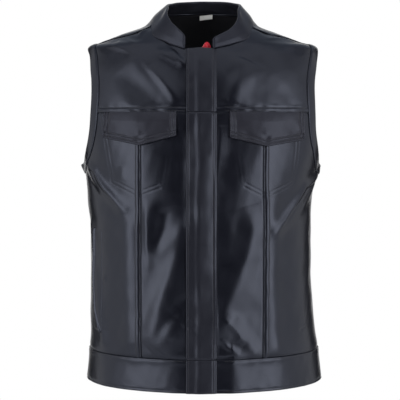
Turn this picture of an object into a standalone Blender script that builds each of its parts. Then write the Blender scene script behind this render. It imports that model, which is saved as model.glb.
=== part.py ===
"""Leather biker vest, filled out as it is worn, with nobody in it.

Metres, +Z up. The front faces -Y and +X is the wearer's left. The origin lies between the
shoulders, at the height where they carry the vest. The leather's inner face is one smooth
surface. A bearing is the angle round that surface from the front middle: 0 in front,
90 at the wearer's left side, -90 at the right side and 180 at the middle of the back.
"""

import math

import bmesh
import bpy
import numpy as np

OBJECT_NAME = "leather_biker_vest"
MM = 0.001

# Walls and the gaps between pieces
LEATHER = 1.8 * MM
FOLDED_LEATHER = 2.2 * MM
COLLAR_WALL = 2.4 * MM
BINDING = 1.2 * MM
CLOTH = 1.0 * MM
LABEL_WALL = 0.8 * MM
SEAM_GAP = 0.3 * MM
LAY_GAP = 0.8 * MM
ON_PANEL = LEATHER + LAY_GAP

# Heights of the seams
YOKE_SEAM = -146 * MM
HEM_SEAM = -565 * MM
HEM_EDGE = -622 * MM
FRONT_NECK = -37 * MM
PLACKET_TOP = -38 * MM

# Places across the front
ZIP_LINE = 7 * MM
ZIP_SLOT = 8 * MM
ZIP_TAPE = 13.6 * MM
VERTICAL_SEAM = 104 * MM
SEAM_STRIP = 10 * MM
PLACKET_FREE_EDGE = -27 * MM
PLACKET_SEWN_EDGE = 25 * MM
PLACKET_CROWN = 1.2 * MM
SIDE_SEAM = math.radians(93)
BACK_CROWDING = 1.6  # the back's columns lie closer together towards the armholes
BACK_AT_UNDERARM = -245 * MM
BACK_AT_SHOULDER = -16 * MM

# Armholes, as an upright egg seen from the side, fuller in its lower half
ARM_MIDDLE = -134 * MM
ARM_HALF_HEIGHT = 103.5 * MM
ARM_FRONT = 62 * MM
ARM_BACK = 64 * MM
ARM_FULLNESS = 0.18
ARM_BAND = 15 * MM
BAND_TURNED_IN = 6 * MM
BAND_GAP = 2.1 * MM
BAND_BRIM = 3.8 * MM
SHOULDER_SEAM_FORWARD = 11 * MM
SHOULDER_SEAM_AT_NECK = math.radians(60)
SHOULDER_SEAM = ((55, 3), (53.5, -4.5), (56.5, -9.5), (66, -12.5), (75, -17))  # bearing and height between them

# Pockets
FLAP_TOP_DROP = 0.6 * MM
FLAP_LIFT = 2.4 * MM
WELT_WIDTH = 18 * MM
WELT_TOP = -346 * MM
WELT_BOTTOM = -529 * MM
WELT_PLACE = 172 * MM
WELT_LIFT = ON_PANEL + LAY_GAP

# Sections of the worn leather from the neck down, in millimetres: half the width, how far
# the front and the back stand from the middle, how square each half is, and the sideways hang
SECTION_COLUMNS = ("z", "half_width", "front", "back", "front_power", "back_power", "shift")
SECTIONS = (
    (46, 62, 40, 69, 1.9, 2.2, 1),
    (24, 86, 51, 79, 1.9, 2.2, 0),
    (7, 102, 58, 87, 1.9, 2.2, -1),
    (-7, 142, 65, 93, 1.9, 2.2, -2),
    (-22, 180, 73, 98, 1.95, 2.2, -1),
    (-30, 201, 77, 100, 2.0, 2.25, 1),
    (-46, 207, 86, 105, 2.1, 2.3, 3),
    (-80, 214, 98, 111, 2.2, 2.3, 2),
    (-146, 217.5, 113, 117, 2.35, 2.35, 1.5),
    (-205, 211, 121, 116, 2.35, 2.35, 0.5),
    (-240, 205.5, 124, 113, 2.3, 2.35, -1.5),
    (-265, 202, 125, 111, 2.25, 2.35, -4),
    (-300, 199, 126, 109, 2.2, 2.3, -4.5),
    (-350, 196.2, 126, 107, 2.2, 2.3, -2.3),
    (-420, 196.2, 125, 107, 2.2, 2.3, -2.3),
    (-480, 198.3, 125, 109, 2.15, 2.3, -1.2),
    (-530, 201, 126, 111, 2.1, 2.25, 1),
    (-566, 205.2, 128, 113, 2.05, 2.2, 3),
    (-624, 211.5, 133, 117, 2.0, 2.2, 4.5),
)

# The neck seam on either side, from beside the front opening to the middle of the back:
# bearing in degrees and height in millimetres
NECK_SEAM = (
    (21, -22), (35, -3.5), (53, 11.5), (70, 21), (90, 27), (120, 34), (150, 38.5), (180, 41),
)
NECK_END_PLACE = {-1: -29 * MM, 1: 18 * MM}

# The collar above that seam: share of the way from the ends in front (0) to the middle of the
# back (1), then how far its top edge leans in and rises, in millimetres
COLLAR_SECTIONS = {
    -1: (
        (0.0, 1, 21), (0.05, 3, 28), (0.12, 9, 34), (0.2, 16, 36), (0.28, 18, 33), (0.38, 21, 25.5),
        (0.6, 30, 17), (0.8, 22, 17), (1.0, 12, 18.5),
    ),
    1: (
        (0.0, 1, 16), (0.05, 4, 19), (0.15, 8, 24), (0.25, 11, 29), (0.35, 13, 28), (0.45, 16.5, 23),
        (0.6, 25, 18.5), (0.8, 20, 18.5), (1.0, 12, 18.5),
    ),
}

# Pocket flaps, in millimetres from the middle: sides, point, and the height of each corner
FLAP_COLUMNS = ("inner", "point", "outer", "inner_z", "point_z", "outer_z")
FLAPS = {
    -1: (43, 104, 168, -186, -202, -189),
    1: (46, 108, 175, -189, -204, -192),
}

# The largest folds: bearing and height of both ends, width, and how high a ridge rises above
# 0 or a trough sinks below it, in degrees and millimetres
FOLDS = (
    (-32, -58, -13, -128, 20, 2.5),
    (-20, -44, -10, -62, 9, 2.0),
    (-47, -28, -34, -30, 10, 2.0),
    (18, -66, 13, -128, 22, 3.0),
    (-8, -337, -22, -389, 14, 2.5),
    (-8, -358, -25, -524, 16, 4.0),
    (-7, -465, -23, -529, 12, -2.5),
    (-9, -482, -25, -548, 12, 2.5),
    (-18, -321, -23, -390, 14, -3.0),
    (-66, -238, -40, -310, 12, 4.0),
    (84, -250, 39, -348, 11, 4.0),
    (26, -350, 10, -510, 22, 3.5),
    (-37, -345, -37, -535, 18, 3.0),
    (37, -300, 37, -545, 18, 3.5),
    (-73, -344, -58, -540, 12, 3.0),
    (8.5, -230, 9, -400, 14, -2.5),
    (15, -500, 25, -552, 12, 2.0),
    (91, -236, 91, -234, 16, 5.0),
    (-91, -234, -91, -231, 16, 7.5),
    (110, -262, 138, -380, 18, 3.5),
    (-108, -266, -140, -402, 20, 3.0),
    (150, -420, 118, -520, 22, 3.0),
    (-152, -440, -122, -545, 22, 3.5),
    (172, -330, -170, -345, 20, -2.5),
    (140, -40, 152, -170, 24, 2.5),
    (-142, -46, -150, -180, 24, 2.5),
)
FOLD_SAMPLES = 9

# Zip slider and size label
SLIDER_WIDTH = 16 * MM
SLIDER_HEIGHT = 21 * MM
SLIDER_DEPTH = 4 * MM
SLIDER_BOTTOM = -45 * MM
SLIDER_BACK = 5 * MM
SLIDER_ROUNDING = 1.2 * MM
LABEL_WIDTH = 25 * MM
LABEL_TOP = 39.5 * MM
LABEL_BOTTOM = 29.5 * MM
LABEL_PLACE = 8 * MM
LINING_LOW = -62 * MM
LINING_GAP = 3.2 * MM
LINING_ENDS = math.radians(58)
LINING_END_HEIGHT = 15 * MM

# Cells of the pieces: columns across and rows up, and rows beside each edge of a mixed side
YOKE_COLUMNS, YOKE_ROWS = 14, {"closing": 7, "neck": 7}
FRONT_COLUMNS, SIDE_COLUMNS, SIDE_ROWS = 7, 9, {"side_seam": 19, "armhole": 7}
BACK_COLUMNS, BACK_ROWS = 26, {"side_seam": 13, "armhole": 17, "shoulder": 14}
HEM_COLUMNS, HEM_BACK_COLUMNS, HEM_ROWS = 14, 24, 3
PLACKET_COLUMNS, FLAP_CELLS, STRIP_ROWS, WELT_CELLS, TAPE_ROWS = 4, (10, 3), 22, (3, 15), 30
COLLAR_CELLS, BAND_COLUMNS, LINING_CELLS, LABEL_CELLS = (46, 2), 56, (16, 7), (4, 2)
BODY_ROWS = sum(SIDE_ROWS.values())
FINE_ROWS = 600
WALK_STEPS = 4

# Principled finishes: colour, roughness, metallic
FINISHES = {
    "black_leather": ((0.013, 0.014, 0.018, 1), 0.42, 0.0),
    "black_lining": ((0.008, 0.008, 0.010, 1), 0.75, 0.0),
    "woven_tape": ((0.010, 0.010, 0.011, 1), 0.85, 0.0),
    "red_enamel": ((0.55, 0.012, 0.02, 1), 0.25, 0.0),
    "white_label": ((0.80, 0.80, 0.78, 1), 0.80, 0.0),
}
SIDES = {-1: "right", 1: "left"}


def smooth_rows(rows, chord_columns, count):
    """Finer rows on a monotone curve through table rows, evenly spaced along the curve."""
    rows = np.array(rows, float)
    steps = np.linalg.norm(np.diff(rows[:, chord_columns], axis=0), axis=1)
    knots = np.concatenate(((0.0,), np.cumsum(steps)))
    slopes = np.diff(rows, axis=0) / steps[:, None]
    before, after = slopes[:-1], slopes[1:]
    alike = before * after > 0
    total = np.where(alike, before + after, 1.0)
    tangents = np.vstack((slopes[:1], np.where(alike, 2 * before * after / total, 0.0), slopes[-1:]))
    at = np.linspace(0, knots[-1], count)
    index = np.clip(np.searchsorted(knots, at, "right") - 1, 0, len(steps) - 1)
    span = steps[index][:, None]
    u = (at - knots[index])[:, None] / span
    start = rows[index] * (1 + 2 * u) * (1 - u) ** 2 + tangents[index] * span * u * (1 - u) ** 2
    end = rows[index + 1] * u * u * (3 - 2 * u) + tangents[index + 1] * span * u * u * (u - 1)
    return start + end


FINE_SECTIONS = smooth_rows(SECTIONS, (0, 1), FINE_ROWS)[::-1]


def section(z):
    """The section columns at heights z, lengths in metres."""
    heights = FINE_SECTIONS[:, 0] * MM
    row = {}
    for column, name in enumerate(SECTION_COLUMNS):
        unit = 1.0 if name.endswith("power") else MM
        row[name] = np.interp(z, heights, FINE_SECTIONS[:, column] * unit)
    return row


def bearing_at(x, z):
    """Bearing of the place on the front that is seen at x."""
    row = section(z)
    across = (x - row["shift"]) / row["half_width"]
    ahead = (1 - np.abs(across) ** row["front_power"]) ** (1 / row["front_power"])
    return np.arctan2(across, ahead)


def bearing_at_depth(side, y, z):
    """Bearing of the place on one side of the vest that lies at depth y."""
    row = section(z)
    in_front = y <= 0
    power = np.where(in_front, row["front_power"], row["back_power"])
    ahead = -y / np.where(in_front, row["front"], row["back"])
    across = (1 - np.abs(ahead) ** power) ** (1 / power)
    return side * np.arctan2(across, ahead)


def smooth_point(places):
    """Points of the inner face, without folds, at rows of bearing and height."""
    bearing, z = places[..., 0], places[..., 1]
    row = section(z)
    in_front = np.cos(bearing) >= 0
    power = np.where(in_front, row["front_power"], row["back_power"])
    depth = np.where(in_front, row["front"], row["back"])
    sine, cosine = np.sin(bearing), np.cos(bearing)
    reach = (np.abs(sine) ** power + np.abs(cosine) ** power) ** (-1 / power)
    return np.stack((row["half_width"] * reach * sine + row["shift"], -depth * reach * cosine, z), -1)


def slopes(places, turn=0.0025, rise=0.5 * MM):
    """How the smooth face moves with bearing and with height, at rows of both."""
    around, up = np.array((turn, 0.0)), np.array((0.0, rise))
    across = smooth_point(places + around) - smooth_point(places - around)
    along = smooth_point(places + up) - smooth_point(places - up)
    return across / (2 * turn), along / (2 * rise)


def outward(places):
    """Outward unit normals at rows of bearing and height."""
    normal = np.cross(*slopes(places))
    return normal / np.linalg.norm(normal, axis=-1, keepdims=True)


def fold_height(points):
    """How far the folds lift the leather at points of the smooth face."""
    lift = np.zeros(len(points))
    for bearing_0, z_0, bearing_1, z_1, width, height in FOLDS:
        share = np.linspace(0, 1, FOLD_SAMPLES)[:, None]
        turn = (bearing_1 - bearing_0 + 180) % 360 - 180
        start = np.array((math.radians(bearing_0), z_0 * MM))
        line = smooth_point(start + share * np.array((math.radians(turn), (z_1 - z_0) * MM)))
        away = np.full(len(points), np.inf)
        for a, b in zip(line[:-1], line[1:]):
            run = b - a
            along = np.clip((points - a) @ run / (run @ run), 0, 1)
            away = np.minimum(away, np.linalg.norm(points - a - along[:, None] * run, axis=1))
        lift += height * MM * np.exp(-((away / (width * MM)) ** 2))
    return lift


def surface(places, lift=0.0):
    """Points of the folded leather, lifted off its inner face."""
    points = smooth_point(places)
    return points + outward(places) * (fold_height(points) + lift)[:, None]


def edge(places):
    """An edge through rows of bearing and height, as a function of the share of its length."""
    points = smooth_point(places)
    length = np.concatenate(((0.0,), np.cumsum(np.linalg.norm(np.diff(points, axis=0), axis=1))))
    return lambda share: np.stack(
        [np.interp(share, length / length[-1], places[:, column]) for column in (0, 1)], -1
    )


def straight(start, end, count=40):
    """An edge that is straight in bearing and height."""
    return edge(np.linspace(start, end, count))


def level(x_from, x_to, z, count=40):
    """A level edge on the front between two places across."""
    x = np.linspace(x_from, x_to, count)
    return edge(np.stack((bearing_at(x, np.full(count, z)), np.full(count, z)), -1))


def upright(x, z_from, z_to, count=40):
    """An upright edge on the front, seen at x."""
    z = np.linspace(z_from, z_to, count)
    return edge(np.stack((bearing_at(np.full(count, x), z), z), -1))


def chain(*parts):
    """Edges end to end, each over its count of the panel's rows."""
    rows = sum(count for _, count in parts)

    def at(t):
        found = np.zeros((len(t), 2))
        begun = 0
        for part, count in parts:
            share = np.clip((t * rows - begun) / count, 0, 1)
            mine = t * rows >= begun
            found[mine] = part(share[mine])
            begun += count
        return found

    return at


def patch(bottom, top, start, end):
    """Map of the unit square to the field inside four edges."""
    ends = np.array((0.0, 1.0))
    low, high = bottom(ends), top(ends)

    def place(s, t):
        across, up = s[:, None], t[:, None]
        corners = (1 - up) * ((1 - across) * low[0] + across * low[1])
        corners = corners + up * ((1 - across) * high[0] + across * high[1])
        ruled = (1 - up) * bottom(s) + up * top(s) + (1 - across) * start(t) + across * end(t)
        return ruled - corners

    return place


def strip_place(x_from, x_to, z_from, z_to):
    """Map of the unit square to an upright strip of the front."""
    return patch(
        level(x_from, x_to, z_from),
        level(x_from, x_to, z_to),
        upright(x_from, z_from, z_to),
        upright(x_to, z_from, z_to),
    )


def armhole_angle(z):
    """Angle round the armhole's front half, from the underarm, at height z."""
    return math.acos((ARM_MIDDLE - z) / ARM_HALF_HEIGHT)


def armhole_places(side, angles):
    """Places on an armhole's edge: 0 at the underarm, then up the front and down the back."""
    sine, cosine = np.sin(angles), np.cos(angles)
    y = -np.where(sine >= 0, ARM_FRONT, ARM_BACK) * sine * (1 + ARM_FULLNESS * cosine)
    z = ARM_MIDDLE - ARM_HALF_HEIGHT * cosine
    return np.stack((bearing_at_depth(side, y, z), z), -1)


def armhole_edge(side, angle_from, angle_to, count=80):
    """Part of an armhole's edge."""
    return edge(armhole_places(side, np.linspace(angle_from, angle_to, count)))


SHOULDER_ANGLE = math.pi - math.asin(SHOULDER_SEAM_FORWARD / ARM_FRONT)


def neck_front_bearing(side):
    """Bearing where one side's neck seam ends beside the front opening."""
    return abs(bearing_at(NECK_END_PLACE[side], FRONT_NECK))


def neck_places(side, bearing_from, bearing_to, count=80):
    """Places on one side's neck seam between two bearings."""
    rows = [(neck_front_bearing(side), FRONT_NECK)]
    rows += [(math.radians(bearing), z * MM) for bearing, z in NECK_SEAM]
    fine = smooth_rows(rows, (0, 1), 200)
    bearing = np.linspace(bearing_from, bearing_to, count)
    return np.stack((side * bearing, np.interp(bearing, fine[:, 0], fine[:, 1])), -1)


def shoulder_edge(side):
    """The shoulder seam, from the neck to the armhole, alike on both sides."""
    neck = neck_places(1, SHOULDER_SEAM_AT_NECK, SHOULDER_SEAM_AT_NECK, 1)[0]
    tip = armhole_places(1, np.array((SHOULDER_ANGLE,)))[0]
    rows = [(math.radians(bearing), z * MM) for bearing, z in SHOULDER_SEAM]
    left = edge(smooth_rows([neck, *rows, tip], (0, 1), 80))
    return lambda share: left(share) * (side, 1)


def closing_edge(side):
    """Place across of a front's edge at the zip."""
    return ZIP_LINE + side * ZIP_SLOT / 2


def material(name):
    """A named finish."""
    colour, roughness, metallic = FINISHES[name]
    finish = bpy.data.materials.get(name)
    if finish is None:
        finish = bpy.data.materials.new(name)
        finish.use_nodes = True
        shader = finish.node_tree.nodes["Principled BSDF"]
        shader.inputs["Base Color"].default_value = colour
        shader.inputs["Roughness"].default_value = roughness
        shader.inputs["Metallic"].default_value = metallic
    return finish


def add_object(name, bm, finish):
    """A named object of the vest from a bmesh."""
    mesh = bpy.data.meshes.new(name)
    bm.to_mesh(mesh)
    bm.free()
    mesh.materials.append(material(finish))
    mesh.shade_smooth()
    obj = bpy.data.objects.new(name, mesh)
    bpy.data.collections[OBJECT_NAME].objects.link(obj)
    return obj


def thicken(obj, wall):
    """A wall built outwards from an open surface."""
    solidify = obj.modifiers.new("wall", "SOLIDIFY")
    solidify.thickness = wall
    solidify.offset = 1.0
    return obj


def grid(columns, rows):
    """A square grid with the shares across and up of its points."""
    bm = bmesh.new()
    bmesh.ops.create_grid(bm, x_segments=columns, y_segments=rows, size=0.5)
    shares = np.array([vert.co[:2] for vert in bm.verts]) + 0.5
    return bm, shares[:, 0], shares[:, 1]


def move_points(bm, points):
    """Puts a bmesh's points at new places."""
    for vert, point in zip(bm.verts, points):
        vert.co = point


def panel(name, place, columns, rows, wall, finish="black_leather", lift=0.0, flip=False):
    """One cut piece on the leather's surface, with half a seam gap off each edge."""
    bm, s, t = grid(columns, rows)
    middle = np.full(2, 0.5)
    ends = np.array((0.0, 1.0))
    width = np.linalg.norm(np.diff(smooth_point(place(ends, middle)), axis=0))
    height = np.linalg.norm(np.diff(smooth_point(place(middle, ends)), axis=0))
    trim_s, trim_t = SEAM_GAP / 2 / width, SEAM_GAP / 2 / height
    s, t = trim_s + (1 - 2 * trim_s) * s, trim_t + (1 - 2 * trim_t) * t
    raised = lift(s, t) if callable(lift) else np.full(len(s), lift)
    move_points(bm, surface(place(s, t), raised))
    if flip:
        bmesh.ops.reverse_faces(bm, faces=bm.faces)
    return thicken(add_object(name, bm, finish), wall)


def make_yoke(side):
    """Front shoulder piece: chest seam, armhole, shoulder seam, neck and closing."""
    close = closing_edge(side)
    armhole_start = armhole_angle(YOKE_SEAM)
    armhole_x = smooth_point(armhole_places(side, np.array((armhole_start,))))[0, 0]
    neck_corner = (bearing_at(close, FRONT_NECK), FRONT_NECK)
    neck_start = neck_front_bearing(side)
    neck = np.vstack((neck_corner, neck_places(side, neck_start, SHOULDER_SEAM_AT_NECK)))
    place = patch(
        level(close, armhole_x, YOKE_SEAM),
        shoulder_edge(side),
        chain(
            (upright(close, YOKE_SEAM, FRONT_NECK), YOKE_ROWS["closing"]),
            (edge(neck), YOKE_ROWS["neck"]),
        ),
        armhole_edge(side, armhole_start, SHOULDER_ANGLE),
    )
    rows = sum(YOKE_ROWS.values())
    panel(f"yoke_{SIDES[side]}", place, YOKE_COLUMNS, rows, LEATHER, flip=side < 0)


def make_front_panel(side):
    """Centre front between the closing and the vertical seam."""
    place = strip_place(closing_edge(side), side * VERTICAL_SEAM, HEM_SEAM, YOKE_SEAM)
    panel(f"front_panel_{SIDES[side]}", place, FRONT_COLUMNS, BODY_ROWS, LEATHER, flip=side < 0)


def make_side_panel(side):
    """Side front from the vertical seam round to the side seam and the armhole."""
    seam = side * VERTICAL_SEAM
    armhole_end = armhole_angle(YOKE_SEAM)
    corner = armhole_places(side, np.array((armhole_end,)))
    underarm = armhole_places(side, np.array((0.0,)))[0]
    hem_corner = (side * SIDE_SEAM, HEM_SEAM)
    seam_top = bearing_at(seam, YOKE_SEAM)
    hem_start = (bearing_at(seam, HEM_SEAM), HEM_SEAM)
    place = patch(
        straight(hem_start, hem_corner),
        level(seam, smooth_point(corner)[0, 0], YOKE_SEAM),
        upright(seam, HEM_SEAM, YOKE_SEAM),
        chain(
            (straight(hem_corner, underarm), SIDE_ROWS["side_seam"]),
            (armhole_edge(side, 0.0, armhole_end), SIDE_ROWS["armhole"]),
        ),
    )
    panel(f"side_panel_{SIDES[side]}", place, SIDE_COLUMNS, BODY_ROWS, LEATHER, flip=side < 0)


def make_back_panel():
    """The back in one piece, from the hem seam to the neck and over both shoulders."""
    underarm = armhole_places(1, np.array((0.0,)))[0]
    neck = edge(neck_places(1, math.pi, SHOULDER_SEAM_AT_NECK))
    shoulder = shoulder_edge(1)
    middle = [(math.pi, z) for z in (HEM_SEAM, BACK_AT_UNDERARM, BACK_AT_SHOULDER)]
    middle.append(neck(np.zeros(1))[0])
    half = patch(
        straight((math.pi, HEM_SEAM), (SIDE_SEAM, HEM_SEAM)),
        neck,
        chain(*zip(map(straight, middle[:-1], middle[1:]), BACK_ROWS.values())),
        chain(
            (straight((SIDE_SEAM, HEM_SEAM), underarm), BACK_ROWS["side_seam"]),
            (armhole_edge(1, 2 * math.pi, SHOULDER_ANGLE), BACK_ROWS["armhole"]),
            (lambda share: shoulder(1 - share), BACK_ROWS["shoulder"]),
        ),
    )

    def place(s, t):
        outer = 1 - (1 - np.abs(2 * s - 1)) ** BACK_CROWDING
        spread = half(outer, t)
        left = s < 0.5
        spread[:, 0] = np.where(left, spread[:, 0], 2 * math.pi - spread[:, 0])
        return spread

    panel("back_panel", place, BACK_COLUMNS, sum(BACK_ROWS.values()), LEATHER)


def make_hem():
    """The hem band: one length on each front and one round the back."""
    for side in SIDES:
        close = closing_edge(side)
        place = patch(
            straight((bearing_at(close, HEM_EDGE), HEM_EDGE), (side * SIDE_SEAM, HEM_EDGE)),
            straight((bearing_at(close, HEM_SEAM), HEM_SEAM), (side * SIDE_SEAM, HEM_SEAM)),
            upright(close, HEM_EDGE, HEM_SEAM),
            straight((side * SIDE_SEAM, HEM_EDGE), (side * SIDE_SEAM, HEM_SEAM)),
        )
        panel(f"hem_{SIDES[side]}", place, HEM_COLUMNS, HEM_ROWS, FOLDED_LEATHER, flip=side < 0)
    far = 2 * math.pi - SIDE_SEAM
    place = patch(
        straight((SIDE_SEAM, HEM_EDGE), (far, HEM_EDGE)),
        straight((SIDE_SEAM, HEM_SEAM), (far, HEM_SEAM)),
        straight((SIDE_SEAM, HEM_EDGE), (SIDE_SEAM, HEM_SEAM)),
        straight((far, HEM_EDGE), (far, HEM_SEAM)),
    )
    panel("hem_back", place, HEM_BACK_COLUMNS, HEM_ROWS, FOLDED_LEATHER)


def make_placket():
    """The strip over the closing, in the lengths between the crossing seams."""
    lengths = (
        ("placket_yoke", YOKE_SEAM, PLACKET_TOP, YOKE_ROWS["closing"]),
        ("placket_body", HEM_SEAM, YOKE_SEAM, BODY_ROWS),
        ("placket_hem", HEM_EDGE, HEM_SEAM, HEM_ROWS),
    )
    for name, low, high, rows in lengths:
        place = strip_place(PLACKET_FREE_EDGE, PLACKET_SEWN_EDGE, low, high)

        def crown(s, t):
            return ON_PANEL + FOLDED_LEATHER - LEATHER + PLACKET_CROWN * np.sin(math.pi * s)

        panel(name, place, PLACKET_COLUMNS, rows, FOLDED_LEATHER, lift=crown)


def make_collar():
    """The low stand collar, from one front end round the back to the other."""
    bm, s, t = grid(*COLLAR_CELLS)
    points = np.zeros((len(s), 3))
    for side in SIDES:
        mine = (s >= 0.5) if side > 0 else (s < 0.5)
        share = np.abs(2 * s[mine] - 1)
        around = edge(neck_places(side, math.pi, neck_front_bearing(side)))
        base = surface(around(share), np.full(len(share), LEATHER + 2 * SEAM_GAP))
        sections = smooth_rows(COLLAR_SECTIONS[side], (0,), 100)
        lean = np.interp(1 - share, sections[:, 0], sections[:, 1]) * MM
        rise = np.interp(1 - share, sections[:, 0], sections[:, 2]) * MM
        inward = -base[:, :2] / np.linalg.norm(base[:, :2], axis=1, keepdims=True)
        up = t[mine]
        points[mine, :2] = base[:, :2] + inward * (lean * up)[:, None]
        points[mine, 2] = base[:, 2] + rise * up
    move_points(bm, points)
    bmesh.ops.reverse_faces(bm, faces=bm.faces)
    thicken(add_object("collar", bm, "black_leather"), COLLAR_WALL)


def walk(places, direction, distance):
    """Places reached by going over the smooth face, from places, along a direction."""
    for _ in range(WALK_STEPS):
        across, along = slopes(places)
        normal = np.cross(across, along)
        normal /= np.linalg.norm(normal, axis=1, keepdims=True)
        heading = direction - normal * np.sum(direction * normal, axis=1, keepdims=True)
        heading *= (distance / WALK_STEPS / np.linalg.norm(heading, axis=1))[:, None]
        basis = np.stack((across, along), -1)
        places = places + np.einsum("nij,nj->ni", np.linalg.pinv(basis), heading)
    return places


def make_armhole_band(side):
    """A strip folded round an armhole's edge: its section is an open U over the leather."""
    under, over = -BAND_GAP, LEATHER + BAND_GAP
    profile = (
        (ARM_BAND, over), (ARM_BAND / 2, over), (-BAND_GAP, over),
        (-BAND_BRIM, LEATHER / 2), (-BAND_GAP, under), (BAND_TURNED_IN, under),
    )
    bm, s, t = grid(BAND_COLUMNS, len(profile) - 1)
    angles = 2 * math.pi * s
    places = armhole_places(side, angles)
    step = math.pi / BAND_COLUMNS
    tangent = smooth_point(armhole_places(side, angles + step))
    tangent -= smooth_point(armhole_places(side, angles - step))
    inward = side * np.cross(outward(places), tangent)
    step = np.linspace(0, 1, len(profile))
    along = np.interp(t, step, [width for width, _ in profile])
    lift = np.interp(t, step, [height for _, height in profile])
    move_points(bm, surface(walk(places, inward, along), lift))
    bmesh.ops.remove_doubles(bm, verts=bm.verts, dist=0.01 * MM)
    if side > 0:
        bmesh.ops.reverse_faces(bm, faces=bm.faces)
    thicken(add_object(f"armhole_band_{SIDES[side]}", bm, "black_leather"), BINDING)


def make_pocket_flap(side):
    """A pointed flap under the chest seam, its lower edge standing off a little."""
    inner, point, outer, inner_z, point_z, outer_z = (value * MM for value in FLAPS[side])
    top = YOKE_SEAM - FLAP_TOP_DROP

    def place(s, t):
        x = inner + (outer - inner) * s
        low = np.interp(x, (inner, point, outer), (inner_z, point_z, outer_z))
        z = low + (top - low) * t
        return np.stack((bearing_at(side * x, z), z), -1)

    def lift(s, t):
        return ON_PANEL + FLAP_LIFT * (1 - t)

    panel(f"pocket_flap_{SIDES[side]}", place, *FLAP_CELLS, FOLDED_LEATHER, lift=lift, flip=side < 0)


def make_seam_strip(side):
    """The raised strip beside the vertical seam, from the flap's point to the hem seam."""
    top = FLAPS[side][FLAP_COLUMNS.index("point_z")] * MM - 2 * LAY_GAP
    near, far = side * VERTICAL_SEAM, side * (VERTICAL_SEAM + SEAM_STRIP)
    place = strip_place(near, far, HEM_SEAM, top)
    panel(f"seam_strip_{SIDES[side]}", place, 1, STRIP_ROWS, BINDING, lift=ON_PANEL, flip=side < 0)


def make_pocket_welt(side):
    """The upright welt of a hand pocket."""
    near, far = side * WELT_PLACE, side * (WELT_PLACE + WELT_WIDTH)
    place = strip_place(near, far, WELT_BOTTOM, WELT_TOP)
    panel(f"pocket_welt_{SIDES[side]}", place, *WELT_CELLS, BINDING, lift=WELT_LIFT, flip=side < 0)


def make_zip_tape(side):
    """One woven tape of the zip, behind its front's edge."""
    near = ZIP_LINE + side * SEAM_GAP
    place = strip_place(near, near + side * ZIP_TAPE, HEM_EDGE, FRONT_NECK)
    lift = -(LAY_GAP + CLOTH)
    panel(f"zip_tape_{SIDES[side]}", place, 1, TAPE_ROWS, CLOTH, "woven_tape", lift, flip=side < 0)


def make_zip_slider():
    """The zip's slider at the top of the closing, just behind the placket's upper edge."""
    bm = bmesh.new()
    bmesh.ops.create_cube(bm, size=1.0)
    bmesh.ops.scale(bm, vec=(SLIDER_WIDTH, SLIDER_DEPTH, SLIDER_HEIGHT), verts=bm.verts)
    bmesh.ops.bevel(
        bm, geom=bm.edges[:], offset=SLIDER_ROUNDING, segments=2, profile=0.5, affect="EDGES", material=-1
    )
    neck = smooth_point(np.array(((bearing_at(ZIP_LINE, FRONT_NECK), FRONT_NECK),)))[0]
    place = (ZIP_LINE, neck[1] + SLIDER_BACK, SLIDER_BOTTOM + SLIDER_HEIGHT / 2)
    bmesh.ops.translate(bm, vec=place, verts=bm.verts)
    add_object("zip_slider", bm, "red_enamel")


def make_neck_lining():
    """The lining inside the back of the neck, where it shows through the opening."""

    def place(s, t):
        turn = LINING_ENDS * (2 * s - 1)
        high = neck_places(1, math.pi - LINING_ENDS, math.pi)
        top = np.interp(math.pi - np.abs(turn), high[:, 0], high[:, 1]) - LAY_GAP
        bow = (turn / LINING_ENDS) ** 2
        low = LINING_LOW + (top - LINING_END_HEIGHT - LINING_LOW) * bow
        return np.stack((math.pi + turn, low + (top - low) * t), -1)

    panel("neck_lining", place, *LINING_CELLS, CLOTH, "black_lining", -(LINING_GAP + CLOTH))


def make_size_label():
    """The blank label that hangs from the neck seam over the lining."""

    def place(s, t):
        z = LABEL_BOTTOM + (LABEL_TOP - LABEL_BOTTOM) * t
        x = LABEL_PLACE + LABEL_WIDTH * (0.5 - s)
        row = section(z)
        across = (x - row["shift"]) / row["half_width"]
        behind = (1 - np.abs(across) ** row["back_power"]) ** (1 / row["back_power"])
        return np.stack((np.arctan2(across, -behind) % (2 * math.pi), z), -1)

    lift = -(LINING_GAP + CLOTH + LAY_GAP + LABEL_WALL)
    panel("size_label", place, *LABEL_CELLS, LABEL_WALL, "white_label", lift)


def main():
    """Builds the vest in an empty scene."""
    for obj in list(bpy.data.objects):
        bpy.data.objects.remove(obj)
    vest = bpy.data.collections.new(OBJECT_NAME)
    bpy.context.scene.collection.children.link(vest)
    for side in SIDES:
        make_yoke(side)
        make_front_panel(side)
        make_side_panel(side)
        make_armhole_band(side)
        make_pocket_flap(side)
        make_seam_strip(side)
        make_pocket_welt(side)
        make_zip_tape(side)
    make_back_panel()
    make_hem()
    make_placket()
    make_collar()
    make_zip_slider()
    make_neck_lining()
    make_size_label()


main()
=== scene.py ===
import math

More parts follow.
